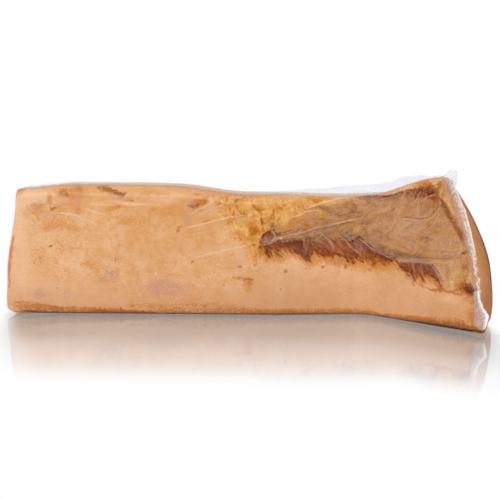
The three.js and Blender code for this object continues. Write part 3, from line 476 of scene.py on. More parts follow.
FURROWS = [
    ("bark", 0.7, 0.6, [(271.5, 75), (278, 78), (284, 80.6), (293, 82)]), ("brown", 0.7, 0.8, [(275, 83), (280, 84.8), (286, 85.6)]),
    ("maroon", 0.95, 0.8, [(292, 80.6), (303.4, 83.6), (310, 85.2), (318, 87.2), (329, 89.8), (341, 92.8), (352, 95.4)]), ("brown", 0.8, 0.7, [(300, 106.2), (306, 108), (310, 109), (314, 109.6), (319, 109)]),
    ("clay", 0.5, 0.5, [(320, 112.4), (331, 115.4), (343, 117.2)]), ("bark", 0.8, 0.8, [(463.2, 74.8), (466, 73.4)]), ("plum", 0.9, 1.1, [(382, 64), (390, 62.4), (398, 61.8)]), ("bark", 0.95, 1.2, [(348, 119.6), (357, 120.2), (368, 120.2), (380, 121.2), (389, 123.2), (396, 125.7), (404, 128.2), (414, 130)]),
    ("bark", 0.8, 0.9, [(278, 73.6), (286, 75.4), (294, 75)]), ("bark", 0.75, 0.8, [(300, 77.4), (306, 78), (312, 76)]), ("bark", 0.7, 0.8, [(330, 76.4), (338, 78), (346, 77.4)]), ("bark", 0.8, 0.8, [(345, 79.6), (351, 81.4), (357, 79.4)]),
    ("umber", 0.5, 0.4, [(288, 97.6), (295, 100.4)]), ("umber", 0.5, 0.4, [(292, 94.6), (299, 98.5)]),
    ("maroon", 0.6, 0.4, [(318.6, 83), (323.6, 77.4), (328, 72.4)]), ("maroon", 0.6, 0.4, [(337, 82), (345, 74), (353, 66.4)]), ("bark", 0.7, 0.6, [(349.6, 78.4), (360, 71.4), (372, 65.4), (384, 61.4), (392, 59.2)]),
    ("brown", 0.9, 0.65, [(396, 102.2), (408, 102.6), (420, 101.8), (430, 105.8), (435, 111.4), (439, 119)]), ("umber", 0.7, 0.5, [(426, 93.6), (431, 97.2), (434.2, 103), (437, 109)]), ("brown", 0.95, 1.3, [(440.5, 121), (446, 113), (451, 106), (456, 98), (460, 91.6), (464, 85), (468, 78)]),
    ("umber", 0.6, 0.6, [(362.5, 113.5), (368, 116)]), ("umber", 0.5, 0.7, [(376, 110), (383, 117)]), ("brick", 0.75, 0.6, [(362, 88.4), (372, 86), (379.4, 83.4), (384, 80.4), (387, 78.8), (394, 79)]),
    ("brick", 0.75, 0.6, [(399, 75), (407, 72.4), (414, 70), (422, 72.4)]), ("brown", 0.9, 0.55, [(400, 63.6), (412, 65), (423, 65.6), (434, 65.8), (450, 67.2), (468, 70)]),
    ("rust", 0.6, 0.5, [(403, 121), (410, 128.6)]), ("maroon", 0.6, 0.45, [(407.2, 121), (414, 130)]), ("bark", 0.6, 0.45, [(411.6, 121), (418.6, 131)]), ("rust", 0.6, 0.5, [(416.4, 122), (423, 131)]),
    ("bark", 0.85, 0.9, [(422, 125.4), (428, 127), (433, 127.6)]), ("bark", 0.8, 0.9, [(415, 128.4), (421, 130), (426, 130.6)]), ("soot", 0.5, 0.7, [(426, 132), (427.6, 135)]), ("bark", 0.6, 0.7, [(432, 121.6), (435.6, 124.6)]), ("bark", 0.6, 0.5, [(439, 140), (443, 139)]),
    ("clay", 0.45, 0.5, [(376, 84), (385, 91), (391, 99)]), ("clay", 0.4, 0.5, [(363, 101.4), (375, 104.2), (388, 110)]), ("clay", 0.4, 0.5, [(400, 92), (410, 94), (420, 99)]),
    ("clay", 0.45, 0.5, [(411.2, 118), (410.8, 113), (412, 107)]), ("clay", 0.45, 0.5, [(404, 119), (405.4, 112)]), ("maroon", 0.6, 0.5, [(428, 60), (434, 53)]), ("maroon", 0.6, 0.5, [(416, 58), (420, 51)]),
    ("brown", 0.8, 0.7, [(343, 112.6), (348, 113), (351.6, 109), (350, 104), (345, 102.6)]), ("brown", 0.6, 0.7, [(329, 101.6), (336, 100.6), (349, 103)]), ("umber", 0.7, 0.7, [(380.6, 117), (379.4, 109.6)]), ("umber", 0.6, 0.6, [(369, 118), (363, 111)]), ("ginger", 0.6, 0.6, [(12.4, 117), (15, 123.4), (18, 127)]),
    ("umber", 0.6, 0.5, [(95, 128.4), (104, 127.2), (110, 125.6)]), ("maroon", 0.5, 0.5, [(112, 123.6), (118, 122.4), (125, 121.8)]), ("umber", 0.4, 0.5, [(188, 106), (198, 110.6)]),
]


# ---------------------------------------------------- relief of the surface
def slow_lumps(s, zn):
    return 0.9 * np.sin(s / 37 + 0.7) * np.sin(zn * 4.4 + 1.1) + 0.6 * np.sin(
        s / 23 + zn * 4.1
    )


def stand_out(s, zn, front):
    """How far the large faces stand out of the plain section."""
    crown = np.where(front, 1.6, 2.4) * np.maximum(0, 1 - (2 * zn - 1) ** 2)
    hollow = (
        4.5
        * ease(0.5, 0.66, zn)
        * ease(268, 330, s)
        * (1 - ease(0.86, 1.0, zn))
        * (1 - ease(400, 450, s))
    )
    lumps = slow_lumps(s, zn) + 0.7 * (cloud(s / 21, zn * 6, 11) - 0.5)
    return (
        crown
        + lumps * ease(0.03, 0.2, zn) * (1 - ease(0.9, 1, zn))
        - np.where(front, hollow, 0)
    )


def meat_out(s, zn, front):
    """The slab's own relief: the bare strip and what is above it lie deeper."""
    z = zn * top_at(s)
    bare = np.maximum(polygon_depth(s, z, STRIP), polygon_depth(s, z, PATCH))
    sunk = 1.2 * ease(-1.0, 2.5, bare) + 0.8 * ease(-4, 8, polygon_depth(s, z, HAZE_ZONE))
    grain = 0.35 * (cloud(s / 5.5, z / 5.5, 21) - 0.5)
    return stand_out(s, zn, front) + grain - np.where(front, sunk, 0)


def film_out(s, zn, front):
    """The film bridges the hollows and stands up in its creases."""
    z = zn * top_at(s)
    lift = np.zeros(s.shape)
    for points, strength, width in CREASES:
        side, share = line_side(s, z, points)
        fade = ease(0, 0.15, share) * (1 - ease(0.85, 1, share))
        lift = np.maximum(lift, 0.5 * strength * fade * np.exp(-((side / 1.4) ** 2)))
    return stand_out(s, zn, front) + np.where(front, lift, 0)


# --------------------------------------------------------- the closed skins
def section(counts, inset):
    wide, high = NOMINAL_THICK - inset, NOMINAL_HEIGHT - inset
    corner_n = (0, 0, 1, 1)
    corner_z = (0, 1, 1, 0)
    arcs = []
    for k in range(4):
        r = max(2.0, CORNERS[k] - 0.55 * inset)
        cn = wide - r if corner_n[k] else inset + r
        cz = high - r if corner_z[k] else inset + r
        a = np.radians(270 - 90 * k - np.linspace(0, 90, counts["arc"] + 1))
        arcs.append(np.stack([cn + r * np.cos(a), cz + r * np.sin(a)], -1))
    points = []
    for k, name in enumerate(("front", "top", "back", "foot")):
        points.append(arcs[k])
        t = np.linspace(0, 1, counts[name] + 1)[1:-1, None]
        points.append(arcs[k][-1] * (1 - t) + arcs[(k + 1) % 4][0] * t)
    return np.concatenate(points)


def closed_skin(counts, shrink, out_of):
    """Rings of the section along the slab, closed at both ends."""
    rings = []
    left, right = END_ROUND
    for share in np.linspace(0, 1, counts["cap"] + 2)[1:-1]:
        rings.append((left, share, lambda zn, nf, f=END_FULL * (1 - share**2): left_end(zn) - f + shrink))
    for a in np.radians(np.linspace(90, 0, counts["round"] + 1))[:-1]:
        rings.append((left * (1 - math.cos(a)), 1.0,
                      lambda zn, nf, a=a: left_end(zn) + shrink + left * (1 - math.sin(a))))
    for t in counts["along"]:
        rings.append((0.0, 1.0, lambda zn, nf, t=t: (left_end(zn) + shrink + left) * (1 - t)
                      + (right_end(zn, nf) - shrink - right) * t))
    for a in np.radians(np.linspace(0, 90, counts["round"] + 1))[1:]:
        rings.append((right * (1 - math.cos(a)), 1.0,
                      lambda zn, nf, a=a: right_end(zn, nf) - shrink - right * (1 - math.sin(a))))
    for share in np.linspace(1, 0, counts["cap"] + 2)[1:-1]:
        rings.append((right, share, lambda zn, nf, f=END_FULL * (1 - share**2): right_end(zn, nf) + f - shrink))
    S, NF, ZN = [], [], []
    known = {}
    for inset, share, along in rings:
        if inset not in known:
            known[inset] = section(counts, inset)
        n = NOMINAL_THICK / 2 + (known[inset][:, 0] - NOMINAL_THICK / 2) * share
        z = NOMINAL_HEIGHT / 2 + (known[inset][:, 1] - NOMINAL_HEIGHT / 2) * share
        NF.append(n / NOMINAL_THICK)
        ZN.append(z / NOMINAL_HEIGHT)
        S.append(along(ZN[-1], NF[-1]))
    S, NF, ZN = np.array(S), np.array(NF), np.array(ZN)
    count = S.shape[1]
    ends = [left_end(0.5) - END_FULL + shrink, right_end(0.5, 0.5) + END_FULL - shrink]
    s = np.append(S.ravel(), [float(e) for e in ends])
    nf = np.append(NF.ravel(), [0.5, 0.5])
    zn = np.append(ZN.ravel(), [0.5, 0.5])
    front = nf < 0.5
    out = out_of(s, zn, front) * (np.abs(nf - 0.5) * 2) ** 3
    n = shrink + nf * (thick_at(s) - 2 * shrink) + np.where(front, -out, out)
    z = shrink + zn * (top_at(s) - 2 * shrink)
    R = len(rings)
    i, j = np.meshgrid(np.arange(R - 1), np.arange(count), indexing="ij")
    k = (j + 1) % count
    quads = np.stack(
        [i * count + j, (i + 1) * count + j, (i + 1) * count + k, i * count + k], -1
    ).reshape(-1, 4)
    j = np.arange(count)
    k = (j + 1) % count
    first, last = R * count, R * count + 1
    caps = np.concatenate(
        [
            np.stack([np.full(count, first), j, k], -1),
            np.stack([np.full(count, last), (R - 1) * count + k, (R - 1) * count + j], -1),
        ]
    )
    return {
        "co": place(s, n, z), "faces": quads.tolist() + caps.tolist(),
        "s": s, "z": z, "zn": zn, "nf": nf, "n": n,
    }


def sheet_faces(rows, columns):
    i, j = np.meshgrid(np.arange(rows - 1), np.arange(columns - 1), indexing="ij")
    a = i * columns + j
    return np.stack([a, a + 1, a + columns + 1, a + columns], -1).reshape(-1, 4).tolist()


def make_object(name, co, faces, material, attributes):
    mesh = bpy.data.meshes.new(name)
    mesh.from_pydata((co / 1000).tolist(), [], faces)
    mesh.update()
    mesh.polygons.foreach_set("use_smooth", np.ones(len(mesh.polygons), bool))
    for key, values in attributes.items():
        values = np.asarray(values, np.float32)
        if values.ndim == 2:
            mesh.attributes.new(key, "FLOAT_VECTOR", "POINT").data.foreach_set(
                "vector", values.ravel()
            )
        else:
            mesh.attributes.new(key, "FLOAT", "POINT").data.foreach_set("value", values)
    mesh.materials.append(material)
    obj = bpy.data.objects.new(name, mesh)
    bpy.context.scene.collection.objects.link(obj)
    return obj


def piece(name, co, faces, material, attributes):
    obj = make_object(name, co, faces, material, attributes)
    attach(obj, "root")
    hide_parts("vacuum_pack")
    return obj


# ------------------------------------------------------------ node material
LIGHT = 1.2  # how much brighter than its base colour a lit face shows
VEIL = 0.018  # what the gloss of the film adds to it


def tone(r, g, b):
    """A colour as it shows in the scene's light, as a linear base colour."""
    out = []
    for v in (r, g, b):
        v = v / 255
        v = v / 12.92 if v <= 0.04045 else ((v + 0.055) / 1.055) ** 2.4
        out.append(min(1.0, max(0.003, (v - VEIL) / LIGHT)))
    return (*out, 1.0)


class Nodes:
    def __init__(self, name):
        self.material = bpy.data.materials.new(name)
        self.material.use_nodes = True
        self.tree = self.material.node_tree
        self.tree.nodes.clear()

    def put(self, socket, value):
        if isinstance(value, bpy.types.NodeSocket):
            self.tree.links.new(value, socket)
        else:
            socket.default_value = value

    def new(self, kind, settings=None, **inputs):
        node = self.tree.nodes.new(kind)
        for key, value in (settings or {}).items():
            setattr(node, key, value)
        for key, value in inputs.items():
            self.put(node.inputs[key.replace("_", " ")], value)
        return node

    def attribute(self, name, vector=False):
        node = self.new("ShaderNodeAttribute", {"attribute_name": name})
        return node.outputs["Vector" if vector else "Fac"]

    def math(self, operation, a, b=0.0, clamp=False):
        node = self.new("ShaderNodeMath", {"operation": operation, "use_clamp": clamp})
        self.put(node.inputs[0], a)
        self.put(node.inputs[1], b)
        return node.outputs[0]

    def times(self, a, b):
        return self.math("MULTIPLY", a, b)

    def plus(self, *terms):
        total = terms[0]
        for term in terms[1:]:
            total = self.math("ADD", total, term)
        return total

    def scale(self, vector, amount):
        node = self.new("ShaderNodeVectorMath", {"operation": "SCALE"})
        self.put(node.inputs[0], vector)
        self.put(node.inputs["Scale"], amount)
        return node.outputs[0]

    def swing(self, noise, amount):
        """Noise about zero."""
        return self.times(self.math("SUBTRACT", noise, 0.5), amount)

    def step(self, value, low, high):
        node = self.new("ShaderNodeMapRange", {"interpolation_type": "SMOOTHSTEP"})
        self.put(node.inputs["Value"], value)
        self.put(node.inputs["From Min"], low)
        self.put(node.inputs["From Max"], high)
        return node.outputs["Result"]

    def mix(self, factor, a, b, blend="MIX"):
        node = self.new("ShaderNodeMix", {"data_type": "RGBA", "blend_type": blend})
        self.put(node.inputs[0], factor)
        self.put(node.inputs[6], a)
        self.put(node.inputs[7], b)
        return node.outputs[2]

    def noise(self, vector, scale, detail=3.0, rough=0.5, distort=0.0):
        node = self.new(
            "ShaderNodeTexNoise", None, Vector=vector, Scale=scale, Detail=detail,
            Roughness=rough, Distortion=distort,
        )
        return node.outputs["Fac"]

    def turned(self, vector, degrees, stretch, move=(0, 0, 0)):
        """The face's coordinates, turned in its plane and stretched."""
        turn = self.new("ShaderNodeVectorRotate", {"rotation_type": "Z_AXIS"})
        self.put(turn.inputs["Vector"], vector)
        self.put(turn.inputs["Angle"], math.radians(degrees))
        node = self.new("ShaderNodeMapping")
        self.put(node.inputs["Vector"], turn.outputs[0])
        self.put(node.inputs["Scale"], stretch)
        self.put(node.inputs["Location"], move)
        return node.outputs[0]

    def ramp(self, factor, stops):
        node = self.new("ShaderNodeValToRGB")
        elements = node.color_ramp.elements
        while len(elements) < len(stops):
            elements.new(0.5)
        for element, (at, colour) in zip(elements, stops):
            element.position = at
            element.color = colour
        self.put(node.inputs[0], factor)
        return node.outputs[0]

    def bump(self, height, strength, distance):
        node = self.new("ShaderNodeBump", None, Height=height, Strength=strength, Distance=distance)
        return node.outputs[0]

    def blend(self, factor, a, b):
        node = self.new("ShaderNodeMixShader")
        self.put(node.inputs[0], factor)
        self.put(node.inputs[1], a)
        self.put(node.inputs[2], b)
        return node.outputs[0]

    def finish(self, shader):
        out = self.tree.nodes.new("ShaderNodeOutputMaterial")
        self.tree.links.new(shader, out.inputs["Surface"])
        return self.material


def rind_material():
    m = Nodes("smoked_rind")
    t = tone
    at = m.attribute("rind_place", True)  # centimetres: along, up, in
    large = m.noise(at, 0.3, 3, 0.5)
    blotch = m.noise(m.turned(at, 0, (1, 1, 1), (4, 9, 1)), 1.0, 4, 0.6, 0.3)
    blush = m.noise(m.turned(at, 0, (1, 1, 1), (11, 2, 5)), 0.75, 4, 0.6, 0.3)
    fleck = m.noise(at, 4.5, 3, 0.6)
    fine = m.noise(at, 7.5, 3, 0.65)
    grain = m.noise(at, 15.0, 2, 0.6)
    weave = m.noise(m.turned(at, 3, (1.2, 7.0, 3.0)), 1.8, 3, 0.6)

    colour = m.ramp(large, [(0.34, t(220, 167, 116)), (0.5, t(225, 175, 128)), (0.64, t(229, 182, 140))])
    colour = m.mix(m.times(m.step(blotch, 0.48, 0.68), 0.5), colour, t(214, 154, 90))
    colour = m.mix(m.times(m.step(blush, 0.49, 0.64), 0.6), colour, t(231, 190, 156))
    colour = m.mix(m.times(m.step(weave, 0.5, 0.66), 0.5), colour, t(238, 197, 150))
    colour = m.mix(m.times(m.step(fleck, 0.5, 0.68), 0.4), colour, t(207, 149, 95))
    colour = m.mix(m.times(m.step(fine, 0.5, 0.68), 0.32), colour, t(194, 134, 86))
    colour = m.mix(m.times(m.step(m.math("SUBTRACT", 1.0, fine), 0.52, 0.68), 0.25), colour, t(238, 198, 150))
    colour = m.mix(m.times(m.step(grain, 0.53, 0.7), 0.24), colour, t(182, 120, 78))
    # Painted shade: the face darkens towards its foot.
    colour = m.mix(m.times(m.attribute("low"), 0.55), colour, t(205, 145, 96))
    colour = m.mix(m.times(m.attribute("warm"), m.plus(m.swing(blotch, 2.2), 0.9)), colour, t(209, 150, 88))
    colour = m.mix(m.attribute("rosy"), colour, t(230, 189, 154))

    def ragged(name, coarse, small):
        mask = m.attribute(name)
        gate = m.step(mask, 0.0, 0.3)
        rough = m.plus(m.swing(blotch, coarse), m.swing(fleck, small), m.swing(fine, small))
        return m.plus(mask, m.times(rough, gate))

    colour = m.mix(m.times(m.step(ragged("pale", 0.5, 0.5), 0.12, 0.8), 0.75), colour, t(236, 198, 160))
    ochre_cell = m.noise(m.turned(at, 20, (1, 1, 1), (7, 3, 2)), 1.25, 4, 0.62, 0.6)
    ochre = m.ramp(
        ochre_cell,
        [(0.3, t(192, 116, 44)), (0.42, t(208, 140, 66)), (0.52, t(218, 158, 84)), (0.62, t(230, 182, 102)), (0.72, t(228, 180, 128))],
    )
    ochre_vein = m.noise(m.turned(at, 70, (1.0, 1.6, 1.0), (2, 5, 1)), 2.6, 4, 0.65, 0.8)
    ochre = m.mix(m.times(m.step(ochre_vein, 0.53, 0.64), 0.75), ochre, t(188, 120, 46))
    ochre = m.mix(m.times(m.step(m.math("SUBTRACT", 1.0, ochre_vein), 0.54, 0.66), 0.7), ochre, t(236, 196, 126))
    ochre = m.mix(m.times(m.step(fleck, 0.55, 0.66), 0.6), ochre, t(176, 106, 38))
    colour = m.mix(m.times(m.step(ragged("ochre", 0.8, 0.4), 0.22, 0.95), 0.85), colour, ochre)
    stain = ragged("stain", 1.1, 0.9)
    colour = m.mix(m.times(m.step(stain, 0.08, 0.5), 0.8), colour, t(212, 148, 80))
    colour = m.mix(m.times(m.step(stain, 0.5, 1.0), 0.85), colour, t(164, 98, 44))
    colour = m.mix(m.times(m.step(ragged("foot", 0.5, 0.5), 0.1, 0.9), 0.8), colour, t(190, 118, 62))

    colour = m.mix(m.times(m.attribute("low_right"), 0.4), colour, t(208, 160, 122))

    # The drawn marks, with uneven borders.
    under = m.step(ragged("under_cover", 1.0, 1.5), 0.05, 0.95)
    colour = m.mix(under, colour, m.attribute("under", True))
    haze_tone = m.noise(m.turned(at, -18, (0.8, 1.7, 1.0)), 0.9, 4, 0.6, 0.4)
    haze_fine = m.noise(m.turned(at, -18, (1.0, 2.6, 1.0)), 3.2, 3, 0.6)
    haze_and_shade = m.attribute("haze_and_shade")
    shade = m.ramp(haze_tone, [(0.34, (0.66, 0.6, 0.54, 1)), (0.5, (0.94, 0.93, 0.9, 1)), (0.64, (1, 1, 1, 1))])
    # Painted shade, uneven, in the hollow under the loose film.
    colour = m.mix(m.times(haze_and_shade, 0.9), colour, shade, "MULTIPLY")
    # Soft folds of the loose film: a painted highlight on their crests and painted shade in their valleys.
    fold = m.noise(m.turned(at, -24, (0.5, 1.5, 1.0), (1, 6, 3)), 1.0, 2, 0.5, 0.7)
    ridge = m.math("ABSOLUTE", m.math("SUBTRACT", fold, 0.5))
    colour = m.mix(m.times(m.times(haze_and_shade, m.math("SUBTRACT", 1.0, m.step(ridge, 0.0, 0.016))), 0.42), colour, t(214, 170, 126))
    valley = m.math("ABSOLUTE", m.math("SUBTRACT", fold, 0.475))
    colour = m.mix(m.times(m.times(haze_and_shade, m.math("SUBTRACT", 1.0, m.step(valley, 0.0, 0.02))), 0.38), colour, t(140, 94, 52))
    colour = m.mix(m.times(m.times(haze_and_shade, m.step(haze_fine, 0.5, 0.68)), 0.8), colour, (0.78, 0.72, 0.64, 1), "MULTIPLY")

    # The bare strip: ragged along fibres that lean down to the right.
    fibre = m.noise(m.turned(at, 52, (0.8, 4.6, 2.0)), 1.0, 4, 0.65)
    hair = m.noise(m.turned(at, 50, (2.0, 9.5, 3.5)), 1.0, 3, 0.65)
    edge = m.plus(m.attribute("strip"), m.swing(fibre, 15.0), m.swing(hair, 12.0))
    upper = m.step(m.attribute("strip_up"), 0.25, 0.8)
    colour = m.mix(m.times(m.times(m.step(edge, -6.0, 0.6), 0.75), m.math("SUBTRACT", 1.0, upper)), colour, t(196, 122, 54))
    body = m.noise(m.turned(at, 50, (1.2, 6.0, 3.0), (3, 1, 2)), 1.2, 4, 0.68)
    strip = m.ramp(
        m.plus(m.swing(body, 2.2), m.times(m.attribute("strip_up"), -0.2), 0.64),
        [(0.08, t(66, 26, 8)), (0.3, t(92, 38, 10)), (0.5, t(120, 54, 12)), (0.7, t(150, 76, 18)), (0.9, t(182, 108, 40))],
    )
    strip = m.mix(m.times(m.step(m.attribute("strip_up"), 0.75, 1.15), 0.4), strip, t(128, 84, 58))
    colour = m.mix(m.times(m.step(edge, -0.8, 1.0), 0.94), colour, strip)
    mask = m.attribute("over_cover")
    rough = m.times(m.plus(m.swing(hair, 3.0), m.swing(fine, 1.6)), m.step(mask, 0.0, 0.3))
    over = m.step(m.plus(mask, rough), 0.08, 0.9)
    colour = m.mix(over, colour, m.attribute("over", True))

    # Grain and fibres run over the drawn marks too.
    def less(value):
        return m.math("SUBTRACT", 1.0, value)

    marked = m.math("MAXIMUM", under, over)
    inside = m.step(edge, -1.5, 1.5)
    clear = m.times(haze_and_shade, less(inside))
    colour = m.mix(m.times(m.times(inside, m.step(hair, 0.5, 0.6)), 0.85), colour, (0.48, 0.38, 0.32, 1), "MULTIPLY")
    colour = m.mix(m.times(m.times(inside, m.step(less(hair), 0.54, 0.64)), 0.42), colour, t(196, 114, 42))
    colour = m.mix(m.times(m.times(marked, m.step(fine, 0.5, 0.64)), 0.4), colour, (0.76, 0.68, 0.6, 1), "MULTIPLY")
    colour = m.mix(m.times(m.times(marked, m.step(grain, 0.52, 0.66)), 0.4), colour, (0.74, 0.66, 0.58, 1), "MULTIPLY")
    wisp = m.noise(m.turned(at, -30, (1.6, 6.0, 2.0), (5, 2, 7)), 2.0, 3, 0.65, 0.3)
    colour = m.mix(m.times(m.times(clear, m.step(wisp, 0.53, 0.63)), 0.34), colour, (0.7, 0.6, 0.5, 1), "MULTIPLY")
    colour = m.mix(m.times(m.times(clear, m.step(less(wisp), 0.54, 0.64)), 0.22), colour, t(218, 172, 126))
    lay = m.noise(m.turned(at, -16, (1.2, 7.0, 3.0), (2, 9, 6)), 1.3, 3, 0.65, 0.2)
    left = m.times(m.attribute("loose_left"), less(inside))
    colour = m.mix(m.times(m.times(left, m.step(lay, 0.52, 0.62)), 0.5), colour, (0.7, 0.57, 0.45, 1), "MULTIPLY")
    colour = m.mix(m.times(m.times(left, m.step(less(lay), 0.54, 0.64)), 0.42), colour, t(216, 170, 118))
    # Crimps of the film: a painted highlight on each crest and painted shade in each dip.
    crimp = m.noise(m.turned(at, 30, (1.0, 1.7, 1.0), (6, 1, 2)), 2.6, 2, 0.5, 1.0)
    crest = m.math("ABSOLUTE", m.math("SUBTRACT", crimp, 0.52))
    dip = m.math("ABSOLUTE", m.math("SUBTRACT", crimp, 0.48))
    colour = m.mix(m.times(m.times(clear, less(m.step(crest, 0.0, 0.02))), 0.4), colour, t(220, 176, 132))
    colour = m.mix(m.times(m.times(clear, less(m.step(dip, 0.0, 0.022))), 0.38), colour, t(136, 90, 52))
    colour = m.mix(m.times(m.times(inside, m.step(fine, 0.5, 0.6)), 0.62), colour, (0.6, 0.5, 0.42, 1), "MULTIPLY")
    colour = m.mix(m.times(m.times(inside, m.step(less(fine), 0.53, 0.61)), 0.5), colour, t(204, 122, 52))
    hue = m.noise(m.turned(at, 15, (1, 1, 1), (3, 8, 4)), 1.0, 4, 0.6)
    colour = m.mix(m.times(m.times(clear, m.step(hue, 0.52, 0.66)), 0.5), colour, t(188, 132, 70))
    colour = m.mix(m.times(m.times(clear, m.step(less(hue), 0.52, 0.66)), 0.5), colour, t(192, 148, 116))
    streak = m.noise(m.turned(at, 0, (0.1, 0.16, 2.6), (3, 1, 4)), 1.6, 3, 0.6)
    colour = m.mix(m.times(m.times(m.attribute("end"), m.step(streak, 0.5, 0.64)), 0.5), colour, (0.82, 0.74, 0.62, 1), "MULTIPLY")
    broken = m.plus(fleck, m.swing(fine, 0.8))
    # Drawn lines: painted highlights along the film's folds, and furrows that are partly painted shade.
    for name in ("furrow", "ridge"):
        side = m.attribute(name + "_side")
        line = m.times(m.math("EXPONENT", m.times(m.times(side, side), -1.0)), m.attribute(name + "_strength"))
        colour = m.mix(m.times(line, m.step(broken, 0.3, 0.52)), colour, m.attribute(name + "_tone", True))
    # Painted light: the bent part and the right end are brightened where they turn from the key light.
    colour = m.scale(colour, m.attribute("painted_light_gain"))

    height = m.plus(m.times(fine, 0.5), m.times(grain, 0.3), m.times(m.times(hair, m.step(edge, -1, 2)), 1.2))
    shader = m.new(
        "ShaderNodeBsdfPrincipled", None, Base_Color=colour,
        Roughness=m.plus(m.times(fine, 0.2), 0.45), Normal=m.bump(height, 0.3, 0.0005),
    )
    shader.inputs["Specular IOR Level"].default_value = 0.08
    return m.finish(shader.outputs[0])


def film_material():
    m = Nodes("clear_film")
    at = m.attribute("rind_place", True)
    q = m.math("DIVIDE", m.attribute("crease_side"), m.attribute("crease_width"))
    line = m.math("EXPONENT", m.times(m.times(q, q), -1.0))
    breakup = m.noise(at, 3.0, 3, 0.6)
    crease = m.times(m.times(line, m.attribute("crease_strength")), m.step(breakup, 0.25, 0.5))
    ripple = m.noise(at, 1.4, 3, 0.55)
    height = m.plus(m.times(crease, 0.8), m.times(ripple, 0.35), m.times(breakup, 0.1))
    normal = m.bump(height, 0.6, 0.0008)
    # Milky along the creases: partly the doubled film and partly a painted highlight.
    milk = m.plus(m.times(crease, 0.24), m.times(m.times(m.attribute("loose"), m.step(breakup, 0.35, 0.75)), 0.02))
    gloss = m.new("ShaderNodeBsdfGlossy", None, Color=(1, 1, 1, 1), Roughness=0.16, Normal=normal)
    clear = m.new("ShaderNodeBsdfTransparent", None, Color=(1, 1, 1, 1))
    fresnel = m.new("ShaderNodeFresnel", None, IOR=1.3)
    skin = m.blend(m.times(fresnel.outputs[0], m.attribute("gloss")), clear.outputs[0], gloss.outputs[0])
    body = m.new("ShaderNodeBsdfPrincipled", None, Base_Color=(0.78, 0.58, 0.44, 1), Roughness=0.3, Normal=normal)
    return m.finish(m.blend(milk, skin, body.outputs[0]))


def loose_film_material(name, low, high, dull, bright, crumple_size, creased=0.0):
    """Doubled or welded film: milky, more so where the attribute says."""
    m = Nodes(name)
    at = m.attribute("rind_place", True)
    crumple = m.noise(at, crumple_size, 3, 0.6, 0.3)
    milk = m.attribute("milk")
    # Along the crests of the crumple the film is whiter and less clear: partly its doubled milk and partly a painted
    # highlight.
    vein = m.math("ABSOLUTE", m.math("SUBTRACT", m.noise(at, crumple_size * 1.7, 2, 0.5, 1.2), 0.5))
    crest = m.times(m.math("SUBTRACT", 1.0, m.step(vein, 0.0, 0.035)), creased)
    tint = m.mix(m.step(m.plus(milk, m.swing(crumple, 1.2), crest), 0.35, 0.95), dull, bright)
    alpha = m.math("ADD", m.plus(m.times(milk, high - low), m.swing(crumple, 0.5), m.times(crest, 0.4)), low, True)
    normal = m.bump(crumple, 0.5, 0.0012)
    body = m.new("ShaderNodeBsdfPrincipled", None, Base_Color=tint, Roughness=0.25, Normal=normal)
    clear = m.new("ShaderNodeBsdfTransparent", None, Color=(1, 1, 1, 1))
    return m.finish(m.blend(alpha, clear.outputs[0], body.outputs[0]))


# ------------------------------------------------------------- slab of meat
COUNTS = {
    "arc": 6, "front": 124, "top": 10, "back": 20, "foot": 6, "round": 7, "cap": 12,
    "along": np.append(np.linspace(0, 0.5, 150, endpoint=False), np.linspace(0.5, 1, 301)),
}
FILM_COUNTS = {
    "arc": 5, "front": 72, "top": 8, "back": 16, "foot": 5, "round": 6, "cap": 8,
    "along": np.linspace(0, 1, 331),
}


def painted(areas, blobs, lines, s, z, seed):
    """Areas, blobs and lines laid over each other: their colour and cover."""
    drift = [2.4 * (cloud(s / 6 + 31 * k, z / 6, seed + 9 * k, 3) - 0.5) for k in (0, 1)]
    mass, cover = np.zeros((s.size, 3)), np.zeros(s.size)

    def near(points, reach):
        pts = np.array(points, float)
        (s0, z0), (s1, z1) = pts.min(0) - reach, pts.max(0) + reach
        at = np.flatnonzero((s > s0) & (s < s1) & (z > z0) & (z < z1))
        return at, drift[0][at], drift[1][at]

    def lay(name, strength, mask, at):
        a = np.maximum(strength * mask, 2e-4)
        mass[at] = mass[at] * (1 - a)[:, None] + np.array(tone(*PALETTE[name])[:3]) * a[:, None]
        cover[at] = cover[at] * (1 - a) + a

    for name, strength, soft, points in areas:
        at, ds, dz = near(points, soft + 4)
        lay(name, strength, ease(-soft, soft, polygon_depth(s[at] + ds, z[at] + dz, points)), at)
    for name, strength, bs, bz, a, b, lean in blobs:
        at, ds, dz = near([(bs, bz)], 1.8 * max(a, b) + 3)
        c, d = math.cos(math.radians(lean)), math.sin(math.radians(lean))
        u, v = s[at] + ds - bs, z[at] + dz - bz
        lay(name, strength, 1 - ease(0.2, 1.7, np.hypot((u * c + v * d) / a, (v * c - u * d) / b)), at)
    for name, strength, half, points in lines:
        at, ds, dz = near(points, 1.5 * half + 3)
        side, share = line_side(s[at] + 0.4 * ds, z[at] + 0.4 * dz, points)
        reach = half * (0.45 + 0.55 * ease(0, 0.25, share) * (1 - ease(0.75, 1, share)))
        lay(name, strength, 1 - ease(0.3 * reach, 1.5 * reach + 0.5, np.abs(side)), at)
    colour = mass / np.maximum(cover, 1e-9)[:, None]
    colour[cover <= 0] = tone(*PALETTE["tan"])[:3]
    return colour, cover


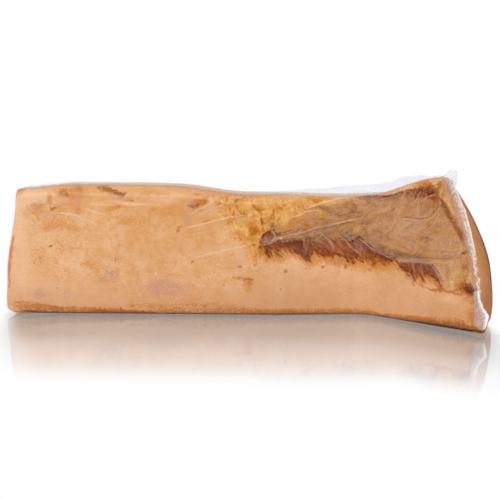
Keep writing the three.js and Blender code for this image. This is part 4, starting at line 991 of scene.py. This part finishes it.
def drawn(lines, s, z, seed):
    """Thin lines: the nearest one's distance in half widths, colour and strength."""
    side, strength = np.full(s.size, 4.0), np.zeros(s.size)
    colour = np.tile(np.array(tone(*PALETTE["tan"])[:3]), (s.size, 1))
    sway = [1.2 * (cloud(s / 5 + 17 * k, z / 5, seed + 9 * k, 3) - 0.5) for k in (0, 1)]
    for name, power, half, points in lines:
        pts = np.array(points, float)
        (s0, z0), (s1, z1) = pts.min(0) - 4, pts.max(0) + 4
        at = np.flatnonzero((s > s0) & (s < s1) & (z > z0) & (z < z1))
        off, share = line_side(s[at] + sway[0][at], z[at] + sway[1][at], points)
        nearer = np.abs(off) / half < np.abs(side[at])
        at, off, share = at[nearer], off[nearer] / half, share[nearer]
        side[at] = np.clip(off, -4, 4)
        strength[at] = power * ease(0, 0.15, share) * (1 - ease(0.85, 1, share)) * (1 - ease(2.6, 3.8, np.abs(off)))
        colour[at] = tone(*PALETTE[name])[:3]
    return side, colour, strength


def broad(spots, s, z):
    """How much of a soft tone lies at each point."""
    bare = np.ones(s.shape)
    for strength, bs, bz, a, b in spots:
        bare *= 1 - strength * np.exp(-((s - bs) / a) ** 2 - ((z - bz) / b) ** 2)
    return 1 - bare


slab = closed_skin(COUNTS, FILM_GAP, meat_out)
s, z, nf, zn = slab["s"], slab["z"], slab["nf"], slab["zn"]
shown = 1 - ease(0.05, 0.3, nf)  # 1 on the shown face
hidden = 1 - shown
strip = np.maximum(polygon_depth(s, z, STRIP), polygon_depth(s, z, PATCH))


def height_in(px, pz, lower, upper):
    """0 on a lower edge, 1 on an upper one."""
    low, high = (np.interp(px, *np.array(sorted(e)).T) for e in (lower, upper))
    return (pz - low) / np.maximum(4.0, high - low)


strip_up = np.where(s < 395, height_in(s, z, STRIP_LOWER, STRIP_UPPER), height_in(s, z, PATCH_LOWER, PATCH_UPPER))
under, under_cover = painted(UNDER_AREAS, UNDER_BLOBS, UNDER_LINES, s, z, 201)
over, over_cover = painted(OVER_AREAS, OVER_BLOBS, OVER_LINES, s, z, 301)
warm, rosy = broad(WARM, s, z), broad(ROSY, s, z)
# painted highlights along the film's folds, and dark furrows that are partly painted shade
ridge, ridge_tone, ridge_strength = drawn(RIDGE_HIGHLIGHTS, s, z, 401)
furrow, furrow_tone, furrow_strength = drawn(FURROWS, s, z, 402)
# The right end is browner towards its back edge and its foot; its darkest band, on the back edge, is painted shade on
# the rounding there.
END_TONES = ((0.1, (204, 158, 122)), (0.35, (197, 143, 95)), (0.6, (182, 123, 67)), (0.78, (172, 112, 58)),
             (0.86, (150, 94, 48)), (0.925, (72, 40, 20)))
past = s - right_end(zn, nf)
end = np.maximum(ease(-5.5, -2.5, past) * ease(0.03, 0.12, nf), ease(-12, -8, past) * ease(0.86, 0.94, nf))
stops = np.array([stop for stop, _ in END_TONES])
tones = np.array([tone(*c)[:3] for _, c in END_TONES])
end_colour = np.stack([np.interp(nf, stops, tones[:, k]) for k in range(3)], -1)
low_end = (1 - ease(24, 46, z))[:, None] * 0.6
end_colour = end_colour * (1 - low_end) + np.array(tone(159, 95, 47)[:3]) * low_end
under_cover = under_cover * shown
under = np.where((end > 0)[:, None], under * (1 - end[:, None]) + end_colour * end[:, None], under)
under_cover = np.maximum(under_cover, end)
# What doesn't show carries the same kind of marks, placed by noise.
deep = slab["n"]
aside = hidden * (1 - end)
stain_around = 0.34 * ease(0.5, 0.85, cloud((s + deep) / 42 + 5, (z + 1.3 * deep) / 22, 41)) * aside
warm_around = 0.6 * ease(0.4, 0.8, cloud((s + deep) / 75 + 1, (z + 1.3 * deep) / 48, 49, 3)) * aside
fleck_around = 0.8 * ease(0.86, 0.92, cloud((s + deep) / 4 + 3, (z + 1.3 * deep) / 4, 43, 2)) * aside
pale_around = 0.5 * ease(0.5, 0.75, cloud((s + deep) / 38 + 2, (z + 1.3 * deep) / 30, 45)) * aside
foot = (1 - ease(0.5, 6 + 11 * cloud(s / 22, s * 0 + 2, 51), z)) * (0.45 + 0.9 * cloud(s / 17, z / 9, 55))
slab_object = piece(
    "bacon_slab", slab["co"], slab["faces"], rind_material(),
    {
        "rind_place": np.stack([s, z, slab["n"]], -1) / 10,
        "strip": np.clip(strip, -9, 9) * shown - 9 * hidden,
        "strip_up": np.clip(strip_up, -0.5, 1.5) * shown,
        "under": under, "under_cover": under_cover,
        "over": over, "over_cover": over_cover * shown,
        "ridge_side": ridge, "ridge_tone": ridge_tone, "ridge_strength": ridge_strength * shown,
        "furrow_side": furrow, "furrow_tone": furrow_tone, "furrow_strength": furrow_strength * shown, "end": end,
        # the loose film's hazy zone, which also carries painted shade
        "haze_and_shade": ease(-5, 6, polygon_depth(s, z, HAZE_ZONE)) * shown,
        "ochre": ease(-15, 9, polygon_depth(s, z, OCHRE_ZONE)) * shown,
        "low_right": ease(215, 290, s) * (1 - ease(40, 60, z)) * ease(4, 14, z) * shown,
        "stain": np.maximum(stain_around, fleck_around), "pale": pale_around, "warm": warm * shown + warm_around, "rosy": rosy * shown,
        "loose_left": ease(-5, 6, polygon_depth(s, z, HAZE_ZONE)) * (1 - ease(350, 378, s)) * shown,
        # painted shade: low darkens the face towards its foot
        "low": 1 - ease(6, 46, z), "foot": foot * (1 - 0.42 * shown),
        # painted light: the bent part and the right end brighter, as they turn from the light
        "painted_light_gain": 1 + 0.08 * ease(260, 350, s) * (1 - end) + 0.18 * end,
    },
)

# ------------------------------------------------------------ film skin
film = closed_skin(FILM_COUNTS, 0.0, film_out)
s, z, nf = film["s"], film["z"], film["nf"]
shown = 1 - ease(0.05, 0.3, nf)
crease_side = np.full(s.shape, 9.0)
crease_width = np.full(s.shape, 0.9)
crease_strength = np.zeros(s.shape)
for points, strength, width in CREASES:
    side, share = line_side(s, z, points)
    nearer = np.abs(side) < np.abs(crease_side)
    fade = ease(0, 0.12, share) * (1 - ease(0.8, 1, share))
    crease_side = np.where(nearer, side, crease_side)
    crease_width = np.where(nearer, width, crease_width)
    crease_strength = np.where(
        nearer, strength * fade * (1 - ease(2.2, 3.4, np.abs(side))), crease_strength
    )
film_object = piece(
    "film_skin", film["co"], film["faces"], film_material(),
    {
        "rind_place": np.stack([s, z, film["n"]], -1) / 10,
        "crease_side": crease_side, "crease_width": crease_width,
        "crease_strength": crease_strength * shown,
        "loose": ease(-5, 8, polygon_depth(s, z, HAZE_ZONE)) * shown,
        "gloss": 0.55 - 0.42 * ease(-6, -2, s - right_end(film["zn"], nf)) * ease(0.03, 0.12, nf),
    },
)


# -------------------------------------------------- fins, weld, bag corners
def fin(first, peak, last, rise, swing, seed, columns, rows):
    u = np.linspace(first, last, columns)[:, None]
    v = np.linspace(0, 1, rows)[None, :]
    up = np.maximum(0.4, rise * ease(first, peak, u) * (1 - ease(peak, last, u)))
    up = up * (1 + 0.12 * (soft_noise(u / 9, u * 0, seed) - 0.5))
    n = 0.5 * thick_at(u)
    n = n + (9 - n) * ease(380, 434, u) * swing
    wave = 1.6 * (cloud(u / 24, v * 0.8, seed + 3, 3) - 0.5) * v * np.minimum(1, up / 4)
    zz = top_at(u) - 1.2 + (up + 1.2) * v
    return place(u + 0 * v, n + wave, zz).reshape(-1, 3), (u + 0 * v).ravel(), zz.ravel(), (0 * u + v).ravel()


fin_co, fin_faces, fin_place, fin_milk = [], [], [], []
start = 0
for spec in ((14, 44, 140, 2.6, 0, 61, 130, 7), (242, 380, 440, 10.5, 1, 71, 210, 14)):
    co, fs, fz, fv = fin(*spec)
    fin_co.append(co)
    fin_faces += [[i + start for i in f] for f in sheet_faces(spec[6], spec[7])]
    fin_place.append(np.stack([fs * 0.3, fz, fv * 0], -1) / 10)
    fin_milk.append(np.clip(0.25 * ease(0, 0.3, fv) + 0.5 * ease(0.8, 1, fv), 0, 1))
    start += len(co)
piece(
    "film_fins", np.concatenate(fin_co), fin_faces,
    loose_film_material("film_fin", 0.32, 0.68, (0.56, 0.57, 0.72, 1), (0.79, 0.8, 0.92, 1), 1.2),
    {"rind_place": np.concatenate(fin_place), "milk": np.concatenate(fin_milk)},
)

rows, columns = 13, 420
u = np.linspace(0, 1, columns)[:, None]
v = np.linspace(0, 1, rows)[None, :]
wzn = 0.985 + (0.16 - 0.985) * u
wn = np.interp(u, [0, 0.3, 0.5, 0.64, 0.85, 1], [9, 7, 5.5, 9, 9, 4])
ws = right_end(wzn, wn / NOMINAL_THICK)
rise = np.interp(u, [0, 0.12, 0.25, 0.5, 0.58, 0.66, 0.85, 0.95, 1], [6, 7.5, 9.5, 8.8, 7.5, 4.6, 4.4, 5.5, 7])
calm = 0.22 + 0.78 * ease(0.5, 0.66, u)  # the upper part is smooth, the lower one crinkled
rise = rise + 0.9 * zigzag(u, 0.03, 81) * calm
ruffle = calm * (1.3 * zigzag(u, 0.05, 83) + 0.7 * zigzag(u, 0.022, 84))
crumple = cloud(u * 34, v * 2.2, 87, 3) - 0.5
wz = wzn * top_at(ws) + (0.9 * zigzag(u, 0.035, 85) + 1.0 * crumple) * v * calm
sway = 0.9 * zigzag(u, 0.06, 86) * calm
tuck = np.interp(u, [0, 0.15, 0.3, 0.5, 0.64, 1], [1.5, 1.2, 0.2, 0.4, 1.2, 1.5])
co = place(ws - tuck + sway + (rise + tuck) * v, wn + 1.5 * (1 - v) + (ruffle + 1.6 * crumple * calm) * v, wz)
# Along a zigzag ridge line the weld turns whiter and less clear: partly the doubled film's own milk and partly a
# painted highlight on its crinkles.
ridge = np.abs(v - 0.62 - 0.22 * zigzag(u, 0.03, 88))
smooth = 0.12 + 0.5 * ease(0.2, 0.5, v) + 0.4 * ease(0.75, 0.95, v) + 0.25 * (cloud(u * 26, v * 1.5, 89, 3) - 0.5)
crinkled = 0.35 + 0.7 * np.exp(-((ridge / 0.2) ** 2)) + 0.5 * ease(0.85, 1.0, v)
part = (calm - 0.22) / 0.78
piece(
    "film_weld", co.reshape(-1, 3), sheet_faces(columns, rows),
    loose_film_material("film_weld", 0.32, 0.85, (0.43, 0.335, 0.305, 1), (0.77, 0.67, 0.64, 1), 3.4, 0.7),
    {
        "rind_place": np.stack([(ws + rise * v).ravel(), (wz + 0 * v).ravel(), 0 * wz.ravel()], -1) / 10,
        "milk": np.clip(smooth * (1 - part) + crinkled * part, 0, 1).ravel(),
    },
)


def corner_sheet(root, free, s0, inset, seed, bow):
    """A bag corner between a root line and a free line, both (s, z) points."""
    rows, columns = 16, 30
    w = np.linspace(0, 1, columns)

    def along(points):
        pts = np.array(points, float)
        d = np.append(0, np.cumsum(np.hypot(*np.diff(pts, axis=0).T)))
        return np.stack([np.interp(w * d[-1], d, pts[:, k]) for k in (0, 1)], -1)

    a, b = along(root)[None], along(free)[None]
    h = np.linspace(0, 1, rows)[:, None, None]
    p = a * (1 - h) + b * h
    wave = (cloud(p[..., 0] / 5, p[..., 1] / 5, seed, 3) - 0.5) * 3.4 * ease(0, 0.5, h[..., 0])
    co = place(s0 + p[..., 0], inset + wave + bow * h[..., 0] ** 2, p[..., 1])
    return co.reshape(-1, 3), sheet_faces(rows, columns), np.stack(
        [s0 + p[..., 0].ravel(), p[..., 1].ravel(), 0 * p[..., 1].ravel()], -1
    ) / 10, np.broadcast_to(ease(0.55, 1, h[..., 0]), p.shape[:2]).ravel()


ear_s = float(right_end(1.0, 9 / NOMINAL_THICK))
ear_top = float(top_at(ear_s))
ear = corner_sheet(
    [(-14, ear_top - 2), (-4, ear_top - 2.5), (0, ear_top - 12), (3, ear_top - 19)],
    [(-12, ear_top + 1.4), (0, ear_top + 2), (7, ear_top + 9.5), (15, ear_top + 8), (14.5, ear_top), (11, ear_top - 12), (4, ear_top - 19)],
    ear_s, 9, 91, -1.5,
)
tab_s = float(right_end(0.16, 0.0))
tab = corner_sheet(
    [(-3.4, 39.4), (-2.8, 33.4), (-2.2, 23.4), (-2, 14.4), (-0.8, 8.6), (4.6, 5.8)],
    [(1.4, 40), (3.2, 32.4), (6.6, 25.9), (13, 18.9), (12.2, 11.4), (10.2, 6.6)],
    tab_s, np.interp(np.linspace(0, 1, 30), [0, 0.4, 0.7, 1], [1.3, 0.9, -0.4, -0.9]), 95, 0.8,
)
hem_s = np.linspace(256, 332, 70)[:, None]
hem_v = np.linspace(0, 1, 5)[None, :]
hem_out = 2.6 * ease(256, 275, hem_s) * (1 - ease(318, 332, hem_s)) * (0.7 + 0.6 * soft_noise(hem_s / 8, hem_s * 0, 97))
hem_co = place(hem_s + 0 * hem_v, 3.0 - (3.0 + hem_out) * hem_v, 0.25 + 0.5 * hem_v * soft_noise(hem_s / 5, hem_v * 2, 98))
hem = (
    hem_co.reshape(-1, 3), sheet_faces(70, 5),
    np.stack([(hem_s + 0 * hem_v).ravel(), (0 * hem_s + hem_v).ravel(), 0 * hem_co[..., 2].ravel()], -1) / 10,
    (0 * hem_s + 0.5 * hem_v).ravel(),
)
film_ear = loose_film_material("film_ear", 0.4, 0.8, (0.54, 0.5, 0.54, 1), (0.84, 0.84, 0.88, 1), 2.2)
film_tab = loose_film_material("film_tab", 0.34, 0.84, (0.46, 0.36, 0.35, 1), (0.84, 0.77, 0.79, 1), 5.2, 1.0)
for name, part, material in (("film_ear", ear, film_ear), ("film_tab", tab, film_tab), ("film_hem", hem, film_ear)):
    piece(name, part[0], part[1], material, {"rind_place": part[2], "milk": part[3]})

# -------------------------------------------------------------------- stage
# A pale floor that glows white through an emission, with a gloss. Close to the slab's long sides
# a painted shade darkens its glow and it mirrors the slab; both fade out further away.
grid_x = np.unique(np.concatenate([np.linspace(-6000, 6000, 41), np.arange(-300, 301, 4)]))
grid_y = np.unique(np.concatenate([np.linspace(-6000, 6000, 41), np.arange(-330, 331, 5)]))
fx, fy = (v.ravel() for v in np.meshgrid(grid_x, grid_y, indexing="ij"))
foot_line, back_line = (place(np.linspace(0, 488, 200), n, 0) for n in (0.0, 54.0))
ahead = np.interp(fx, foot_line[:, 0], foot_line[:, 1]) - fy
behind = fy - np.interp(fx, back_line[:, 0], back_line[:, 1])
away = np.maximum(0, np.maximum(ahead, 2.4 * behind))  # the shade behind is shorter
wide = 243 - 0.28 * np.minimum(away, 300)  # narrower further away, as a mirror image is
blur = 9 + 0.12 * np.minimum(away, 300)
beside = ease(-wide + 4 - blur, -wide + 4 + blur, fx) * (1 - ease(wide - 12 - blur, wide - 12 + blur, fx))
# painted shade: how brightly the floor glows, darker near the slab
painted_floor_shade = np.interp(away, [0, 16, 75, 143, 205], [0.47, 0.45, 0.51, 0.83, 1.0])
m = Nodes("floor")
# the floor glows through an emission, dimmed by the painted shade
glow = m.new("ShaderNodeEmission", None, Color=m.ramp(m.attribute("painted_floor_shade"), [(0.0, (0, 0, 0, 1)), (0.5, (0.5, 0.487, 0.47, 1)), (1.0, (1, 1, 1, 1))]), Strength=1.0)
mirror = m.new("ShaderNodeBsdfGlossy", None, Color=(1, 1, 1, 1), Roughness=0.06)
floor = make_object(
    "floor", np.stack([fx, fy, np.full(fx.size, -0.3)], -1), sheet_faces(len(grid_x), len(grid_y)),
    m.finish(m.blend(m.times(m.attribute("mirror"), 0.43), glow.outputs[0], mirror.outputs[0])),
    {"painted_floor_shade": 1 - (1 - painted_floor_shade) * beside, "mirror": beside * (1 - ease(140, 235, away))},
)

CAMERA = (CENTRING[0], CENTRING[1] - 850.0, 200.0)
TILT = math.radians(8.95)
FOCUS = 860.7  # focal length in pixels of a picture 500 wide
world = bpy.data.worlds.new("studio")
bpy.context.scene.world = world
world.use_nodes = True
world.node_tree.nodes["Background"].inputs["Color"].default_value = (1, 1, 1, 1)
world.node_tree.nodes["Background"].inputs["Strength"].default_value = 1.0


def softbox(name, at, aim, size, energy):
    lamp = bpy.data.lights.new(name, "AREA")
    lamp.shape = "RECTANGLE"
    lamp.size, lamp.size_y = size
    lamp.energy = energy
    obj = bpy.data.objects.new(name, lamp)
    bpy.context.scene.collection.objects.link(obj)
    obj.location = at
    d = np.array(aim, float) - np.array(at, float)
    obj.rotation_euler = (
        math.atan2(math.hypot(d[0], d[1]), -d[2]), 0, math.atan2(d[1], d[0]) - math.pi / 2,
    )
    return obj


softbox("key", (-0.55, -2.0, 0.95), (0, 0, 0.06), (1.6, 1.0), 27)

camera_data = bpy.data.cameras.new("camera")
camera_data.sensor_fit = "HORIZONTAL"
camera_data.sensor_width = 36
camera_data.lens = FOCUS / 500 * 36
camera = bpy.data.objects.new("camera", camera_data)
bpy.context.scene.collection.objects.link(camera)
camera.location = [c / 1000 for c in CAMERA]
camera.rotation_euler = (math.pi / 2 - TILT, 0, 0)
bpy.context.scene.camera = camera
bpy.context.scene.view_settings.view_transform = "Standard"
bpy.context.scene.view_settings.look = "None"
